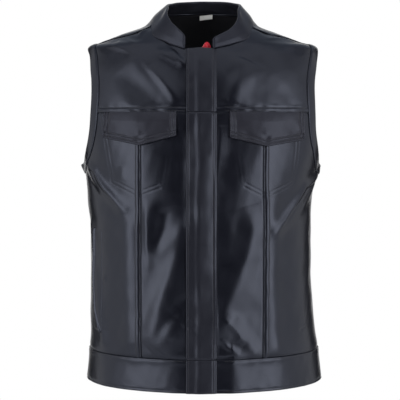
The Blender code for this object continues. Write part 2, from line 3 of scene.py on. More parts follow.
import bmesh
import bpy
import numpy as np
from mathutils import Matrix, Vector


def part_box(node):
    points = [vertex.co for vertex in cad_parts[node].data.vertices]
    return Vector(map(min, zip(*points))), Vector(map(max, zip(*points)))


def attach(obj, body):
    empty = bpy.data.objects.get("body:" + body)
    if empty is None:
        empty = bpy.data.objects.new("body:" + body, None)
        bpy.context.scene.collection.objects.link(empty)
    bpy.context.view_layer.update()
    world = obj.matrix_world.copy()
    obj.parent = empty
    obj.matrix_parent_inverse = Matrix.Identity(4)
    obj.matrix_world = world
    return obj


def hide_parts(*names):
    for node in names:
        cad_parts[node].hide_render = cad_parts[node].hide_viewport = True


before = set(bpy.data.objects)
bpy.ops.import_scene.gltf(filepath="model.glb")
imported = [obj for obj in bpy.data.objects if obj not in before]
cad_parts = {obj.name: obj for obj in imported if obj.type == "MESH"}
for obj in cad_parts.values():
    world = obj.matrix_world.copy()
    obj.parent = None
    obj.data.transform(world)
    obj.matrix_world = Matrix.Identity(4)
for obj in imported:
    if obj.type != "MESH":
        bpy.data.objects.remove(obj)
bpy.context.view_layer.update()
mm, degree = 0.001, math.pi / 180
sides = {-1: "right", 1: "left"}  # the wearer's
print("vest: frame loaded,", len(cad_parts), "nodes")

# how many samples fine curves and tables have
fineness = {"sections": 600, "curve": 200, "edge": 60, "armhole": 160, "neck": 120, "shares": 4001}

# the worn leather's inner face: level sections from the neck down, mm
bodyShape = {
    "columns": ("z", "half", "front", "back", "frontPower", "backPower", "shift"),
    "rows": (
        (46, 62, 40, 69, 1.9, 2.2, 1),
        (24, 86, 51, 79, 1.9, 2.2, 0),
        (7, 102, 58, 87, 1.9, 2.2, -1),
        (-7, 142, 65, 93, 1.9, 2.2, -2),
        (-22, 180, 73, 98, 1.95, 2.2, -1),
        (-30, 201, 77, 100, 2.0, 2.25, 1),
        (-46, 207, 86, 105, 2.1, 2.3, 3),
        (-80, 214, 98, 111, 2.2, 2.3, 2),
        (-146, 217.5, 113, 117, 2.35, 2.35, 1.5),
        (-205, 211, 121, 116, 2.35, 2.35, 0.5),
        (-240, 205.5, 124, 113, 2.3, 2.35, -1.5),
        (-265, 202, 125, 111, 2.25, 2.35, -4),
        (-300, 199, 126, 109, 2.2, 2.3, -4.5),
        (-350, 196.2, 126, 107, 2.2, 2.3, -2.3),
        (-420, 196.2, 125, 107, 2.2, 2.3, -2.3),
        (-480, 198.3, 125, 109, 2.15, 2.3, -1.2),
        (-530, 201, 126, 111, 2.1, 2.25, 1),
        (-566, 205.2, 128, 113, 2.05, 2.2, 3),
        (-624, 211.5, 133, 117, 2.0, 2.2, 4.5),
    ),
    "wall": 1.8 * mm,
    "yokeSeam": -146 * mm, "hemSeam": -565 * mm, "hemEdge": -622 * mm, "frontNeck": -37 * mm,
    "placketTop": -38 * mm, "zipLine": 7 * mm, "zipSlot": 8 * mm, "verticalSeam": 104 * mm,
    "sideSeam": math.radians(93),
    "tuck": 4 * mm, "underHem": 2 * mm,  # how far a lower piece runs on under the one lapped over it
}


def smoothRows(rows, chord, count):  # monotone curve through table rows, even along the curve
    rows = np.array(rows, float)
    steps = np.linalg.norm(np.diff(rows[:, chord], axis=0), axis=1)
    knots = np.concatenate(((0.0,), np.cumsum(steps)))
    slope = np.diff(rows, axis=0) / steps[:, None]
    before, after = slope[:-1], slope[1:]
    alike = before * after > 0
    total = np.where(alike, before + after, 1.0)
    tangent = np.vstack((slope[:1], np.where(alike, 2 * before * after / total, 0.0), slope[-1:]))
    at = np.linspace(0, knots[-1], count)
    index = np.clip(np.searchsorted(knots, at, "right") - 1, 0, len(steps) - 1)
    span = steps[index][:, None]
    u = (at - knots[index])[:, None] / span
    start = rows[index] * (1 + 2 * u) * (1 - u) ** 2 + tangent[index] * span * u * (1 - u) ** 2
    return start + rows[index + 1] * u * u * (3 - 2 * u) + tangent[index + 1] * span * u * u * (u - 1)


fineSections = smoothRows(bodyShape["rows"], (0, 1), fineness["sections"])[::-1]


def section(z):
    row = {}
    for column, name in enumerate(bodyShape["columns"]):
        scale = 1.0 if name.endswith("Power") else mm
        row[name] = np.interp(z, fineSections[:, 0] * mm, fineSections[:, column] * scale)
    return row


def bearingAt(x, z):  # place on the front that is seen at x
    row = section(z)
    across = (x - row["shift"]) / row["half"]
    return np.arctan2(across, (1 - np.abs(across) ** row["frontPower"]) ** (1 / row["frontPower"]))


def frontPlace(x, z):
    return float(bearingAt(x, z)), z


def bearingAtDepth(side, y, z):  # place on one side at depth y
    row = section(z)
    power = np.where(y <= 0, row["frontPower"], row["backPower"])
    ahead = -y / np.where(y <= 0, row["front"], row["back"])
    return side * np.arctan2((1 - np.abs(ahead) ** power) ** (1 / power), ahead)


def smoothPoint(places):  # rows of bearing and height to points
    bearing, z = places[..., 0], places[..., 1]
    row = section(z)
    sine, cosine = np.sin(bearing), np.cos(bearing)
    power = np.where(cosine >= 0, row["frontPower"], row["backPower"])
    depth = np.where(cosine >= 0, row["front"], row["back"])
    reach = (np.abs(sine) ** power + np.abs(cosine) ** power) ** (-1 / power)
    return np.stack((row["half"] * reach * sine + row["shift"], -depth * reach * cosine, z), -1)


probe = {"bearing": 0.0025, "height": 0.5 * mm}  # half steps for the slopes of the face


def slopes(places):
    around, up = np.array((probe["bearing"], 0.0)), np.array((0.0, probe["height"]))
    across = smoothPoint(places + around) - smoothPoint(places - around)
    along = smoothPoint(places + up) - smoothPoint(places - up)
    return across / (2 * probe["bearing"]), along / (2 * probe["height"])


def outward(places):
    normal = np.cross(*slopes(places))
    return normal / np.linalg.norm(normal, axis=-1, keepdims=True)


# folds: a path of (bearing in degrees, z in mm), width and height in mm, how much it fades to its ends
folds = {
    "large": (  # those of the solids
        (((-32, -58), (-13, -128)), 20, 2.5, 0),
        (((-20, -44), (-10, -62)), 9, 2.0, 0),
        (((-47, -28), (-34, -30)), 10, 2.0, 0),
        (((18, -66), (13, -128)), 22, 3.0, 0),
        (((-8, -337), (-22, -389)), 14, 2.5, 0),
        (((-8, -358), (-25, -524)), 16, 4.0, 0),
        (((-7, -465), (-23, -529)), 12, -2.5, 0),
        (((-9, -482), (-25, -548)), 12, 2.5, 0),
        (((-18, -321), (-23, -390)), 14, -3.0, 0),
        (((-66, -238), (-40, -310)), 12, 4.0, 0),
        (((84, -250), (39, -348)), 11, 4.0, 0),
        (((26, -350), (10, -510)), 22, 3.5, 0),
        (((-37, -345), (-37, -535)), 18, 3.0, 0),
        (((37, -300), (37, -545)), 18, 3.5, 0),
        (((-73, -344), (-58, -540)), 12, 3.0, 0),
        (((8.5, -230), (9, -400)), 14, -2.5, 0),
        (((15, -500), (25, -552)), 12, 2.0, 0),
        (((91, -236), (91, -234)), 16, 5.0, 0),
        (((-91, -234), (-91, -231)), 16, 7.5, 0),
        (((110, -262), (138, -380)), 18, 3.5, 0),
        (((-108, -266), (-140, -402)), 20, 3.0, 0),
        (((150, -420), (118, -520)), 22, 3.0, 0),
        (((-152, -440), (-122, -545)), 22, 3.5, 0),
        (((172, -330), (190, -345)), 20, -2.5, 0),
        (((140, -40), (152, -170)), 24, 2.5, 0),
        (((-142, -46), (-150, -180)), 24, 2.5, 0),
    ),
    "fine": (  # smaller creases, in front as the photo shows them and alike elsewhere
        (((-25.0, -66), (-19.7, -88), (-14.9, -109), (-11.0, -128)), (8, 9), 1.6, 0.5),
        (((-35.0, -46), (-29.6, -68), (-24.2, -87), (-19.2, -108), (-14.5, -132)), (10, 38), -3.0, 1.0),
        (((-41.0, -74), (-32.0, -102), (-24.5, -128)), (20, 14), -2.4, 1.0),
        (((-59.8, -27), (-48.5, -32), (-40.6, -38), (-33.4, -46)), (7, 5), 1.6, 0.6),
        (((-19, -52), (-13, -80), (-6.5, -105)), 13, -1.2, 0.8),
        (((-20.8, -19), (-13.3, -38), (-8.2, -61)), 4, -1.3, 0.5),
        (((-15.8, -38), (-11.7, -52), (-8.1, -66)), (4, 5), 1.5, 0.5),
        (((-58, 8), (-48.9, -5), (-40.2, -18)), (4, 4), 1.7, 0.6),
        (((-50.7, -17), (-39.0, -26), (-33.2, -32)), (4, 4), 1.2, 0.6),
        (((41.5, -19), (52.6, -16), (68.9, -14)), (4, 4), 1.2, 0.6),
        (((44.8, -31), (55.8, -31), (68.4, -34)), (10, 7), 1.7, 0.6),
        (((20, -56), (17.3, -77), (14.8, -101), (12.4, -129)), (36, 12), 3.4, 0.35),
        (((10, -87), (28, -55)), 11, -1.6, 0.8),
        (((-8, -358), (-12.5, -395), (-16.5, -435), (-20.7, -480), (-24.7, -524)), (40, 18), 5.5, 0.7),
        (((-8, -358), (-12.5, -395), (-16.5, -435), (-20.7, -480), (-24.7, -524)), (16, 18), -4.0, 0.7),
        (((-7, -465), (-23, -529)), 12, 0.9, 0),
        (((-9, -482), (-25, -548)), 11, -1.3, 0),
        (((-7, -490), (-16, -522), (-25, -554)), (22, 24), 3.2, 0.5),
        (((-7.3, -509), (-12.9, -534), (-18, -560)), (22, 30), 3.0, 0.5),
        (((-25, -286), (-26.5, -330), (-26.5, -370), (-25.5, -412)), (24, 8), 4.4, 1.0),
        (((-9, -280), (-9, -340), (-9.5, -412)), (14, 46), -5.0, 1.2),
        (((-9, -176), (-8.8, -302)), 12, -2.2, 0.5),
        (((11, -159), (14, -319)), 14, -2.0, 0.5),
        (((8.0, -168), (8.1, -260), (8.1, -380), (8.0, -500), (8.0, -560)), (24, 5), 2.6, 0.25),
        (((23.8, -304), (26.7, -342), (25.1, -385), (17.3, -435), (10.9, -489), (9.1, -537)),
         (28, 14), 2.2, 0.4),
        (((7.8, -529), (11.8, -544), (17.4, -556)), 5, 1.6, 0.8),
        (((10, -492), (14.7, -514), (20.2, -540)), 6, 1.8, 0.7),
        (((12, -506), (17.5, -530)), 5, -1.4, 0.8),
        (((13.5, -576), (13.5, -620)), (24, 16), 3.0, 0),
        (((-66, -236), (-58.7, -245), (-54.8, -262), (-50.7, -276), (-46.9, -286), (-40, -309)),
         (6, 3.5), 3.0, 0.5),
        (((-72, -250), (-56, -285)), 6, -1.4, 0.8),
        (((88, -250), (62.9, -273), (55.7, -295), (48.8, -315), (39, -348)), (3, 8), 3.2, 0.5),
        (((74, -268), (50, -330)), 6, -1.8, 0.8),
        (((-38, -236), (-39, -262)), 9, 1.2, 0.8),
        (((-55.4, -434), (-55.4, -431)), 3.5, 1.1, 0),
        (((56, -524), (61.7, -520)), 1.5, -1.5, 0.3),
        (((-58, -524), (-53, -525)), 1.5, -1.4, 0.3),
        (((128, -96), (150, -128), (176, -138)), 14, 1.6, 0.9),
        (((-126, -92), (-152, -132), (-172, -140)), 13, 1.7, 0.9),
        (((100, -252), (122, -292), (136, -352)), 7, 2.2, 0.7),
        (((-98, -250), (-120, -296), (-132, -362)), 7, 2.4, 0.7),
        (((108, -300), (132, -420)), 8, -1.8, 0.8),
        (((-106, -310), (-134, -430)), 8, -2.0, 0.8),
        (((160, -352), (178, -366), (196, -354)), 9, 1.6, 0.9),
        (((156, -470), (132, -536)), 9, 2.0, 0.8),
        (((-158, -476), (-130, -548)), 9, 2.2, 0.8),
        (((176, -440), (168, -540)), 10, -1.6, 0.8),
        (((112, -452), (98, -540)), 8, 1.6, 0.8),
        (((-114, -448), (-99, -536)), 8, 1.8, 0.8),
        (((120, -34), (136, -70)), 8, 1.4, 0.8),
        (((-118, -36), (-135, -74)), 8, 1.4, 0.8),
    ),
    "lumps": ((70, 0.50, 3), (23, 0.12, 7)),  # soft unevenness all over: size, height, seed
    "reach": 3.2,  # widths from its path, past which a fold no longer shows
    "outward": (0.4, 1.0, 0.0),  # turns a point into its rough way out of the body
}


def runLength(points, axis=0):  # distance along rows of points, from the first
    steps = np.linalg.norm(np.diff(points, axis=axis), axis=-1)
    pad = np.zeros_like(np.take(steps, [0], axis=axis))
    return np.concatenate((pad, np.cumsum(steps, axis=axis)), axis=axis)


def between(where, knots, rows):  # a table's rows at places between its knots
    return np.stack([np.interp(where, knots, column) for column in rows.T], -1)


def unit(rows):
    return rows / np.maximum(np.linalg.norm(rows, axis=1, keepdims=True), 1e-12)


def softStep(value, low, high):
    share = np.clip((value - low) / (high - low), 0, 1)
    return share * share * (3 - 2 * share)


def bell(distance, reach, power=2):
    return np.exp(-((distance / reach) ** power))


def foldPath(path, samples=9):
    path = np.array(path, float)
    at = np.linspace(0, 1, samples * (len(path) - 1))
    return smoothPoint(between(at, np.linspace(0, 1, len(path)), path) * (degree, mm))


def creaseLift(points, creases):
    lift = np.zeros(len(points))
    for path, width, height, fade in creases:
        line = foldPath(path)
        left, right = width if isinstance(width, tuple) else (width, width)  # looking along the path
        room = folds["reach"] * max(left, right) * mm
        near = np.all((points > line.min(0) - room) & (points < line.max(0) + room), axis=1)
        if not near.any():
            continue
        spots = points[near]
        facing = spots * folds["outward"]
        away, share, turned = np.full(len(spots), np.inf), np.zeros(len(spots)), np.zeros(len(spots))
        for index, (a, b) in enumerate(zip(line[:-1], line[1:])):
            run = b - a
            along = np.clip((spots - a) @ run / (run @ run), 0, 1)
            gap = np.linalg.norm(spots - a - along[:, None] * run, axis=1)
            closer = gap < away
            share = np.where(closer, (index + along) / (len(line) - 1), share)
            turned = np.where(closer, (np.cross(run, spots - a) * facing).sum(1), turned)
            away = np.minimum(away, gap)
        rise = np.clip(np.sin(math.pi * share), 0, 1) ** fade if fade else 1.0
        wide = np.where(turned > 0, left, right) * mm
        lift[near] += height * mm * rise * bell(away, wide)
    return lift


def ripple(points, size, seed, waves=14, spread=(0.7, 1.6)):  # soft random swell, about -1 to 1
    rng = np.random.default_rng(seed)
    ways = rng.normal(size=(waves, 3))
    ways /= np.linalg.norm(ways, axis=1, keepdims=True)
    ways *= (2 * math.pi / (size * mm * rng.uniform(*spread, waves)))[:, None]
    return np.sin(points @ ways.T + rng.uniform(0, 2 * math.pi, waves)).sum(1) / math.sqrt(waves)


def leatherLift(points):
    lift = creaseLift(points, folds["large"]) + creaseLift(points, folds["fine"])
    for size, height, seed in folds["lumps"]:
        lift += height * mm * ripple(points, size, seed)
    return lift


def onLeather(places, lift):  # points and normals on the folded leather
    points, normals = smoothPoint(places), outward(places)
    return points + normals * (leatherLift(points) + lift)[:, None], normals


def walk(places, direction, distance, steps=6):  # over the smooth face, from places, along a direction
    for _ in range(steps):
        across, along = slopes(places)
        normal = unit(np.cross(across, along))
        heading = unit(direction - normal * (direction * normal).sum(1)[:, None])
        heading = heading * (distance / steps)[:, None]
        places = places + np.einsum("nij,nj->ni", np.linalg.pinv(np.stack((across, along), -1)), heading)
    return places


# edges of the cut, each a function of the share of its length
def edge(places):
    length = runLength(smoothPoint(places))
    return lambda share: between(share, length / length[-1], places)


def straight(start, end):
    return edge(np.linspace(start, end, fineness["edge"]))


def level(xFrom, xTo, z):
    x = np.linspace(xFrom, xTo, fineness["edge"])
    height = np.full(len(x), z)
    return edge(np.stack((bearingAt(x, height), height), -1))


def upright(x, zFrom, zTo):
    z = np.linspace(zFrom, zTo, fineness["edge"])
    return edge(np.stack((bearingAt(np.full(len(z), x), z), z), -1))


def chain(*parts):  # edges end to end, each over its part of the rows
    rows = sum(count for _, count in parts)

    def at(t):
        found, begun = np.zeros((len(t), 2)), 0
        for part, count in parts:
            mine = t * rows >= begun - 1e-9
            found[mine] = part(np.clip((t[mine] * rows - begun) / count, 0, 1))
            begun += count
        return found
    return at


def patch(bottom, top, start, end):  # unit square to the field inside four edges
    ends = np.array((0.0, 1.0))
    low, high = bottom(ends), top(ends)

    def place(s, t):
        across, up = s[:, None], t[:, None]
        corners = (1 - up) * ((1 - across) * low[0] + across * low[1])
        corners = corners + up * ((1 - across) * high[0] + across * high[1])
        return (1 - up) * bottom(s) + up * top(s) + (1 - across) * start(t) + across * end(t) - corners
    return place


def uprightStrip(xFrom, xTo, zFrom, zTo):
    return patch(level(xFrom, xTo, zFrom), level(xFrom, xTo, zTo),
                 upright(xFrom, zFrom, zTo), upright(xTo, zFrom, zTo))


# armholes and neck line
armhole = {
    "middle": -134 * mm, "halfHeight": 103.5 * mm, "front": 62 * mm, "back": 64 * mm, "fullness": 0.18,
    "seamForward": 11 * mm, "seamAtNeck": math.radians(60),
    "seam": ((55, 3), (53.5, -4.5), (56.5, -9.5), (66, -12.5), (75, -17)),  # bearing and height between
}
neckLine = {
    "rows": ((21, -22), (35, -3.5), (53, 11.5), (70, 21), (90, 27), (120, 34), (150, 38.5), (180, 41)),
    "endPlace": {-1: -29 * mm, 1: 18 * mm},
}
shoulderAngle = math.pi - math.asin(armhole["seamForward"] / armhole["front"])


def tableRows(rows):  # bearing in degrees and height in mm to a place
    return [(math.radians(bearing), z * mm) for bearing, z in rows]


def armholeAngle(z):
    return math.acos((armhole["middle"] - z) / armhole["halfHeight"])


def armholePlaces(side, angles):  # from the underarm up the front and down the back
    sine, cosine = np.sin(angles), np.cos(angles)
    y = -np.where(sine >= 0, armhole["front"], armhole["back"]) * sine * (1 + armhole["fullness"] * cosine)
    z = armhole["middle"] - armhole["halfHeight"] * cosine
    return np.stack((bearingAtDepth(side, y, z), z), -1)


def armholePlace(side, angle):
    return armholePlaces(side, np.array((angle,)))[0]


def armholeEdge(side, angleFrom, angleTo):
    return edge(armholePlaces(side, np.linspace(angleFrom, angleTo, fineness["armhole"])))


def neckEnd(side):
    return float(abs(bearingAt(neckLine["endPlace"][side], bodyShape["frontNeck"])))


def neckPlaces(side, bearingFrom, bearingTo, count=fineness["neck"]):
    rows = [(neckEnd(side), bodyShape["frontNeck"]), *tableRows(neckLine["rows"])]
    fine = smoothRows(rows, (0, 1), fineness["curve"])
    bearing = np.linspace(bearingFrom, bearingTo, count)
    return np.stack((side * bearing, np.interp(bearing, fine[:, 0], fine[:, 1])), -1)


def shoulderEdge(side):
    neck = neckPlaces(1, armhole["seamAtNeck"], armhole["seamAtNeck"], 1)[0]
    rows = [neck, *tableRows(armhole["seam"]), armholePlace(1, shoulderAngle)]
    left = edge(smoothRows(rows, (0, 1), fineness["neck"]))
    return lambda share: left(share) * (side, 1)


def closing(side):
    return bodyShape["zipLine"] + side * bodyShape["zipSlot"] / 2


# finishes
class Wire:  # a shader socket that does sums
    def __init__(self, tree, socket=None):
        self.tree, self.socket = tree, socket

    def add(self, kind, settings=None, sockets=None, output=0):
        node = self.tree.nodes.new(kind)
        for name, value in (settings or {}).items():
            if name == "stops":  # a ramp's places and colours
                ramp = node.color_ramp.elements
                while len(ramp) < len(value):
                    ramp.new(0.5)
                for stop, (place, colour) in zip(ramp, value):
                    stop.position, stop.color = place, colour
            else:
                setattr(node, name, value)
        for name, value in (sockets or {}).items():
            if isinstance(value, Wire):
                self.tree.links.new(value.socket, node.inputs[name])
            else:
                node.inputs[name].default_value = value
        return Wire(self.tree, node.outputs[output])

    def sum(self, operation, first, second):
        return self.add("ShaderNodeMath", {"operation": operation}, {0: first, 1: second})

    def __add__(self, other):
        return self.sum("ADD", self, other)

    def __radd__(self, other):
        return self.sum("ADD", other, self)

    def __sub__(self, other):
        return self.sum("SUBTRACT", self, other)

    def __rsub__(self, other):
        return self.sum("SUBTRACT", other, self)

    def __mul__(self, other):
        return self.sum("MULTIPLY", self, other)

    def __rmul__(self, other):
        return self.sum("MULTIPLY", other, self)


coordinates = {"uv": 2, "object": 3}  # outputs of Texture Coordinate


def newFinish(name, constants, space):
    material = bpy.data.materials.new(name)
    material.use_nodes = True
    tree = material.node_tree
    shader = tree.nodes["Principled BSDF"]
    for socket, value in constants.items():
        shader.inputs[socket].default_value = value
    wire = Wire(tree)
    return material, wire, shader, wire.add("ShaderNodeTexCoord", output=coordinates[space])


def mixColours(wire, share, first, second):
    return wire.add("ShaderNodeMix", {"data_type": "RGBA"}, {0: share, 6: first, 7: second}, 2)


def link(source, shader, socket):
    source.tree.links.new(source.socket, shader.inputs[socket])


leatherLook = {
    "body": {"shine": 0.40, "colour": (0.0016, 0.0017, 0.0034, 1), "faded": (0.0034, 0.0036, 0.0062, 1)},
    # collar, trim and flap are copies of the one body leather with less shine and a lighter colour; the
    # lighter colour is painted light that lifts these parts' tone
    "collar": {"shine": 0.16, "colour": (0.0115, 0.012, 0.0165, 1), "faded": (0.016, 0.017, 0.0225, 1)},
    "trim": {"shine": 0.25, "colour": (0.0088, 0.0091, 0.0126, 1), "faded": (0.0118, 0.0122, 0.0162, 1)},
    "flap": {"shine": 0.19, "colour": (0.0132, 0.0132, 0.0176, 1), "faded": (0.0170, 0.0171, 0.0220, 1)},
    "ior": 1.46, "sheenTint": (0.74, 0.80, 1.0, 1),
    "grain": {"Scale": 620.0, "Smoothness": 0.6, "Randomness": 0.9},
    "pores": {"Scale": 1500.0, "Detail": 2.0, "Roughness": 0.6},
    "mottle": {"Scale": 26.0, "Detail": 4.0, "Roughness": 0.55},
    "wrinkle": {"Scale": 170.0, "Detail": 3.0, "Roughness": 0.5, "Distortion": 0.7},
    "wear": ((0.42, (0, 0, 0, 1)), (0.72, (1, 1, 1, 1))), "wearShare": 0.6,
    "roughness": 0.285, "mottleRoughness": 0.10, "grainRoughness": 0.06,
    "grainHeight": -0.55, "poresHeight": 0.18, "wrinkleHeight": 0.5,
    "bump": {"Strength": 0.24, "Distance": 0.35 * mm},
}


def makeLeather(name, shine, colour, faded):
    look = leatherLook
    material, wire, shader, place = newFinish(name, {
        "IOR": look["ior"], "Specular IOR Level": shine, "Specular Tint": look["sheenTint"]}, "object")
    grain = wire.add("ShaderNodeTexVoronoi", {"feature": "SMOOTH_F1"}, {"Vector": place, **look["grain"]})
    pores, mottle, wrinkle = (wire.add("ShaderNodeTexNoise", None, {"Vector": place, **look[kind]})
                              for kind in ("pores", "mottle", "wrinkle"))
    wear = wire.add("ShaderNodeValToRGB", {"stops": look["wear"]}, {0: mottle})
    link(mixColours(wire, wear * look["wearShare"], colour, faded), shader, "Base Color")
    rough = look["roughness"] + (mottle - 0.5) * look["mottleRoughness"] + grain * look["grainRoughness"]
    link(rough, shader, "Roughness")
    height = grain * look["grainHeight"] + pores * look["poresHeight"] + wrinkle * look["wrinkleHeight"]
    link(wire.add("ShaderNodeBump", None, {"Height": height, **look["bump"]}), shader, "Normal")
    return material


weaveLook = {
    "lining": {"colours": ((0.0025, 0.0025, 0.004, 1), (0.006, 0.006, 0.008, 1)),
               "roughness": 0.7, "threads": 2600.0},
    "tape": {"colours": ((0.007, 0.007, 0.008, 1), (0.018, 0.018, 0.020, 1)),
             "roughness": 0.85, "threads": 1500.0},
    "label": {"colours": ((0.70, 0.70, 0.68, 1), (0.86, 0.86, 0.84, 1)), "roughness": 0.8, "threads": 2200.0},
    "shine": 0.15, "threadsPerScale": 6.3, "slub": {"Scale": 240.0, "Detail": 3.0},
    "threadLight": 0.6, "slubLight": 0.4, "threadGloss": 0.12, "slubGloss": 0.1,
    "bump": {"Strength": 0.4, "Distance": 0.2 * mm},
}


def makeWeave(name, colours, roughness, threads):
    look = weaveLook
    material, wire, shader, place = newFinish(name, {"Specular IOR Level": look["shine"]}, "uv")  # in metres
    warp, weft = (wire.add("ShaderNodeTexWave", {"bands_direction": way}, {
        "Vector": place, "Scale": threads / look["threadsPerScale"]}) for way in "XY")
    slub = wire.add("ShaderNodeTexNoise", None, {"Vector": place, **look["slub"]})
    thread = warp * weft
    light = thread * look["threadLight"] + slub * look["slubLight"]
    link(mixColours(wire, light, *colours), shader, "Base Color")
    link(roughness - thread * look["threadGloss"] + (slub - 0.5) * look["slubGloss"], shader, "Roughness")
    link(wire.add("ShaderNodeBump", None, {"Height": thread, **look["bump"]}), shader, "Normal")
    return material


mottledLook = {  # a fine noise moves colour and roughness a little
    "thread": {"name": "blackThread", "constants": {"Specular IOR Level": 0.4}, "scale": 2400.0,
               "detail": 1.0, "colours": ((0.006, 0.006, 0.008, 1), (0.030, 0.031, 0.036, 1)),
               "roughness": 0.5, "spread": 0.2},
    "enamel": {"name": "redEnamel", "constants": {"Coat Weight": 0.5, "Coat Roughness": 0.08}, "scale": 260.0,
               "detail": 4.0, "colours": ((0.27, 0.005, 0.014, 1), (0.44, 0.018, 0.032, 1)),
               "roughness": 0.2, "spread": 0.15},
    "teeth": {"name": "zipTeeth", "constants": {}, "scale": 500.0, "detail": 2.0,
              "colours": ((0.010, 0.010, 0.011, 1), (0.035, 0.034, 0.033, 1)),
              "roughness": 0.3, "spread": 0.2},
    "paper": {"name": "palePaper", "constants": {}, "scale": 40.0, "detail": 3.0,
              "colours": ((0.86, 0.86, 0.86, 1), (0.80, 0.80, 0.80, 1)), "roughness": 0.9, "spread": 0.0},
}


def makeMottled(name, constants, scale, detail, colours, roughness, spread):
    material, wire, shader, place = newFinish(name, constants, "object")
    noise = wire.add("ShaderNodeTexNoise", None, {"Vector": place, "Scale": scale, "Detail": detail})
    link(mixColours(wire, noise, *colours), shader, "Base Color")
    link(roughness + noise * spread, shader, "Roughness")
    return material


finishes = {
    "leather": makeLeather("softBlackLeather", **leatherLook["body"]),
    # lighter copies of the body leather: their lighter colour is painted light on the collar, placket and
    # flaps
    "collarLeatherPaintedLighter": makeLeather("dullBlackLeatherPaintedLighter", **leatherLook["collar"]),
    "trimLeather": makeLeather("trimBlackLeatherPaintedLighter", **leatherLook["trim"]),
    "flapLeather": makeLeather("flapBlackLeatherPaintedLighter", **leatherLook["flap"]),
    "lining": makeWeave("blackLining", **weaveLook["lining"]),
    "tape": makeWeave("zipTape", **weaveLook["tape"]),
    "label": makeWeave("blankLabel", **weaveLook["label"]),
    **{finish: makeMottled(**look) for finish, look in mottledLook.items()},
}
print("vest: finishes ready,", len(finishes))


# sheets of leather and cloth
sheetForm = {  # for every sheet whose own dictionary says nothing else
    "slot": "leather", "finish": "leather", "held": "hung", "edges": {}, "rows": (),
    "band": (10 * mm, 10 * mm), "ratio": (2.6, 2.6), "focus": None,
    "sunk": 0.7 * mm, "rowWide": 1.2 * mm, "pucker": 0.3 * mm, "puckerWide": 8 * mm, "gather": 15,
}


def crowdedShares(cells, size, band, ratio, focus):  # closer together near both ends, and within a focus
    u = np.linspace(0, 1, fineness["shares"])
    density = 1 + (ratio - 1) * (bell(u * size, band) + bell((1 - u) * size, band))
    if focus:
        low, high, finer, soft = focus
        density += (finer - 1) / (1 + np.exp((low - u) / soft)) / (1 + np.exp((u - high) / soft))
    total = np.concatenate(((0.0,), np.cumsum((density[1:] + density[:-1]) / 2)))
    return np.interp(np.linspace(0, 1, cells + 1), total / total[-1], u)


def gridObject(name, points, uv, finish, wall, flip=False):
    rows, columns = points.shape[0] - 1, points.shape[1] - 1
    bm = bmesh.new()
    bmesh.ops.create_grid(bm, x_segments=columns, y_segments=rows, size=0.5, calc_uvs=True)
    spots = np.array([vert.co[:2] for vert in bm.verts]) + 0.5
    column, row = np.rint(spots * (columns, rows)).astype(int).T
    order = row * (columns + 1) + column
    for vert, point in zip(bm.verts, points.reshape(-1, 3)[order]):
        vert.co = point
    bm.verts.index_update()
    spread = uv.reshape(-1, 2)[order]
    layer = bm.loops.layers.uv.verify()
    for face in bm.faces:
        for corner in face.loops:
            corner[layer].uv = spread[corner.vert.index]
    if flip:
        bmesh.ops.reverse_faces(bm, faces=bm.faces)
    return finished(name, bm, finish, wall)


def finished(name, bm, finish, wall=0.0):
    mesh = bpy.data.meshes.new(name)
    bm.to_mesh(mesh)
    bm.free()
    mesh.materials.append(finishes[finish])
    mesh.shade_smooth()
    piece = bpy.data.objects.new(name, mesh)
    bpy.context.scene.collection.objects.link(piece)
    if wall:
        thick = piece.modifiers.new("wall", "SOLIDIFY")
        thick.thickness, thick.offset, thick.use_even_offset = wall, -1.0, False
    return piece


def rolled(distance, reach):
    return np.clip(1 - distance / reach, 0, 1) ** 2


edgeKinds = {  # how the leather rises or sinks towards its sewn edges
    "lap": lambda d: 1.1 * mm * bell(d, 9 * mm) - 1.3 * mm * rolled(d, 1.4 * mm),  # over the next piece
    "under": lambda d: -1.5 * mm * bell(d, 5.5 * mm),  # runs on below the next piece
    "turned": lambda d: -1.4 * mm * rolled(d, 1.6 * mm),  # a free folded edge
    "butt": lambda d: -1.2 * mm * bell(d, 1.5 * mm, 1.2),  # pulled down into a plain seam
}


def sewnSheet(name, place, form, lift=0.0, flip=False, smooth=False, grooves=()):
    s, t = (crowdedShares(*(form[key][way] for key in ("cells", "size", "band", "ratio")), focus)
            for way, focus in enumerate((None, form["focus"])))
    across, up = (grid.ravel() for grid in np.meshgrid(s, t))
    places = place(across, up)
    shape = (len(t), len(s))
    base, normal = smoothPoint(places), outward(places)
    wide, high = (runLength(base.reshape(*shape, 3), axis) for axis in (1, 0))
    away = {"start": wide, "end": wide[:, -1:] - wide, "bottom": high, "top": high[-1:] - high}
    height = bodyShape["wall"] + sum(edgeKinds[kind](away[which]) for which, kind in form["edges"].items())
    height = np.broadcast_to(height, shape).ravel() + (lift(across, up, away) if callable(lift) else lift)
    height += creaseLift(base, folds["large"]) if smooth else leatherLift(base)
    height += creaseLift(base, grooves)
    gathers = ripple(base, form["gather"], len(name))  # that thread pulls into the leather
    for which, distance, *_ in form["rows"]:
        d = away[which].ravel() - distance
        height -= form["sunk"] * bell(d, form["rowWide"])
        height += form["pucker"] * gathers * bell(d, form["puckerWide"])
    points = (base + normal * height[:, None]).reshape(*shape, 3)
    piece = gridObject(name, points, np.stack((wide, high), -1), form["finish"], form["wall"], flip)
    return piece, {"points": points, "normals": normal.reshape(*shape, 3), "away": away}


def seamRow(data, side, distance, trim=(0.0, 0.0)):  # a line on a sheet at one distance from an edge
    points, normals, away = data["points"], data["normals"], data["away"][side]
    if side in ("start", "end"):
        points, normals, away = points.swapaxes(0, 1), normals.swapaxes(0, 1), away.T
    found, facing = [], []
    for index in range(points.shape[1]):
        order = np.argsort(away[:, index])
        near = away[order, index]
        found.append(between(distance, near, points[order, index]))
        facing.append(between(distance, near, normals[order, index]))
    found, facing = np.array(found), np.array(facing)
    length = runLength(found)
    kept = (length >= trim[0]) & (length <= length[-1] - trim[1])
    return found[kept], facing[kept]


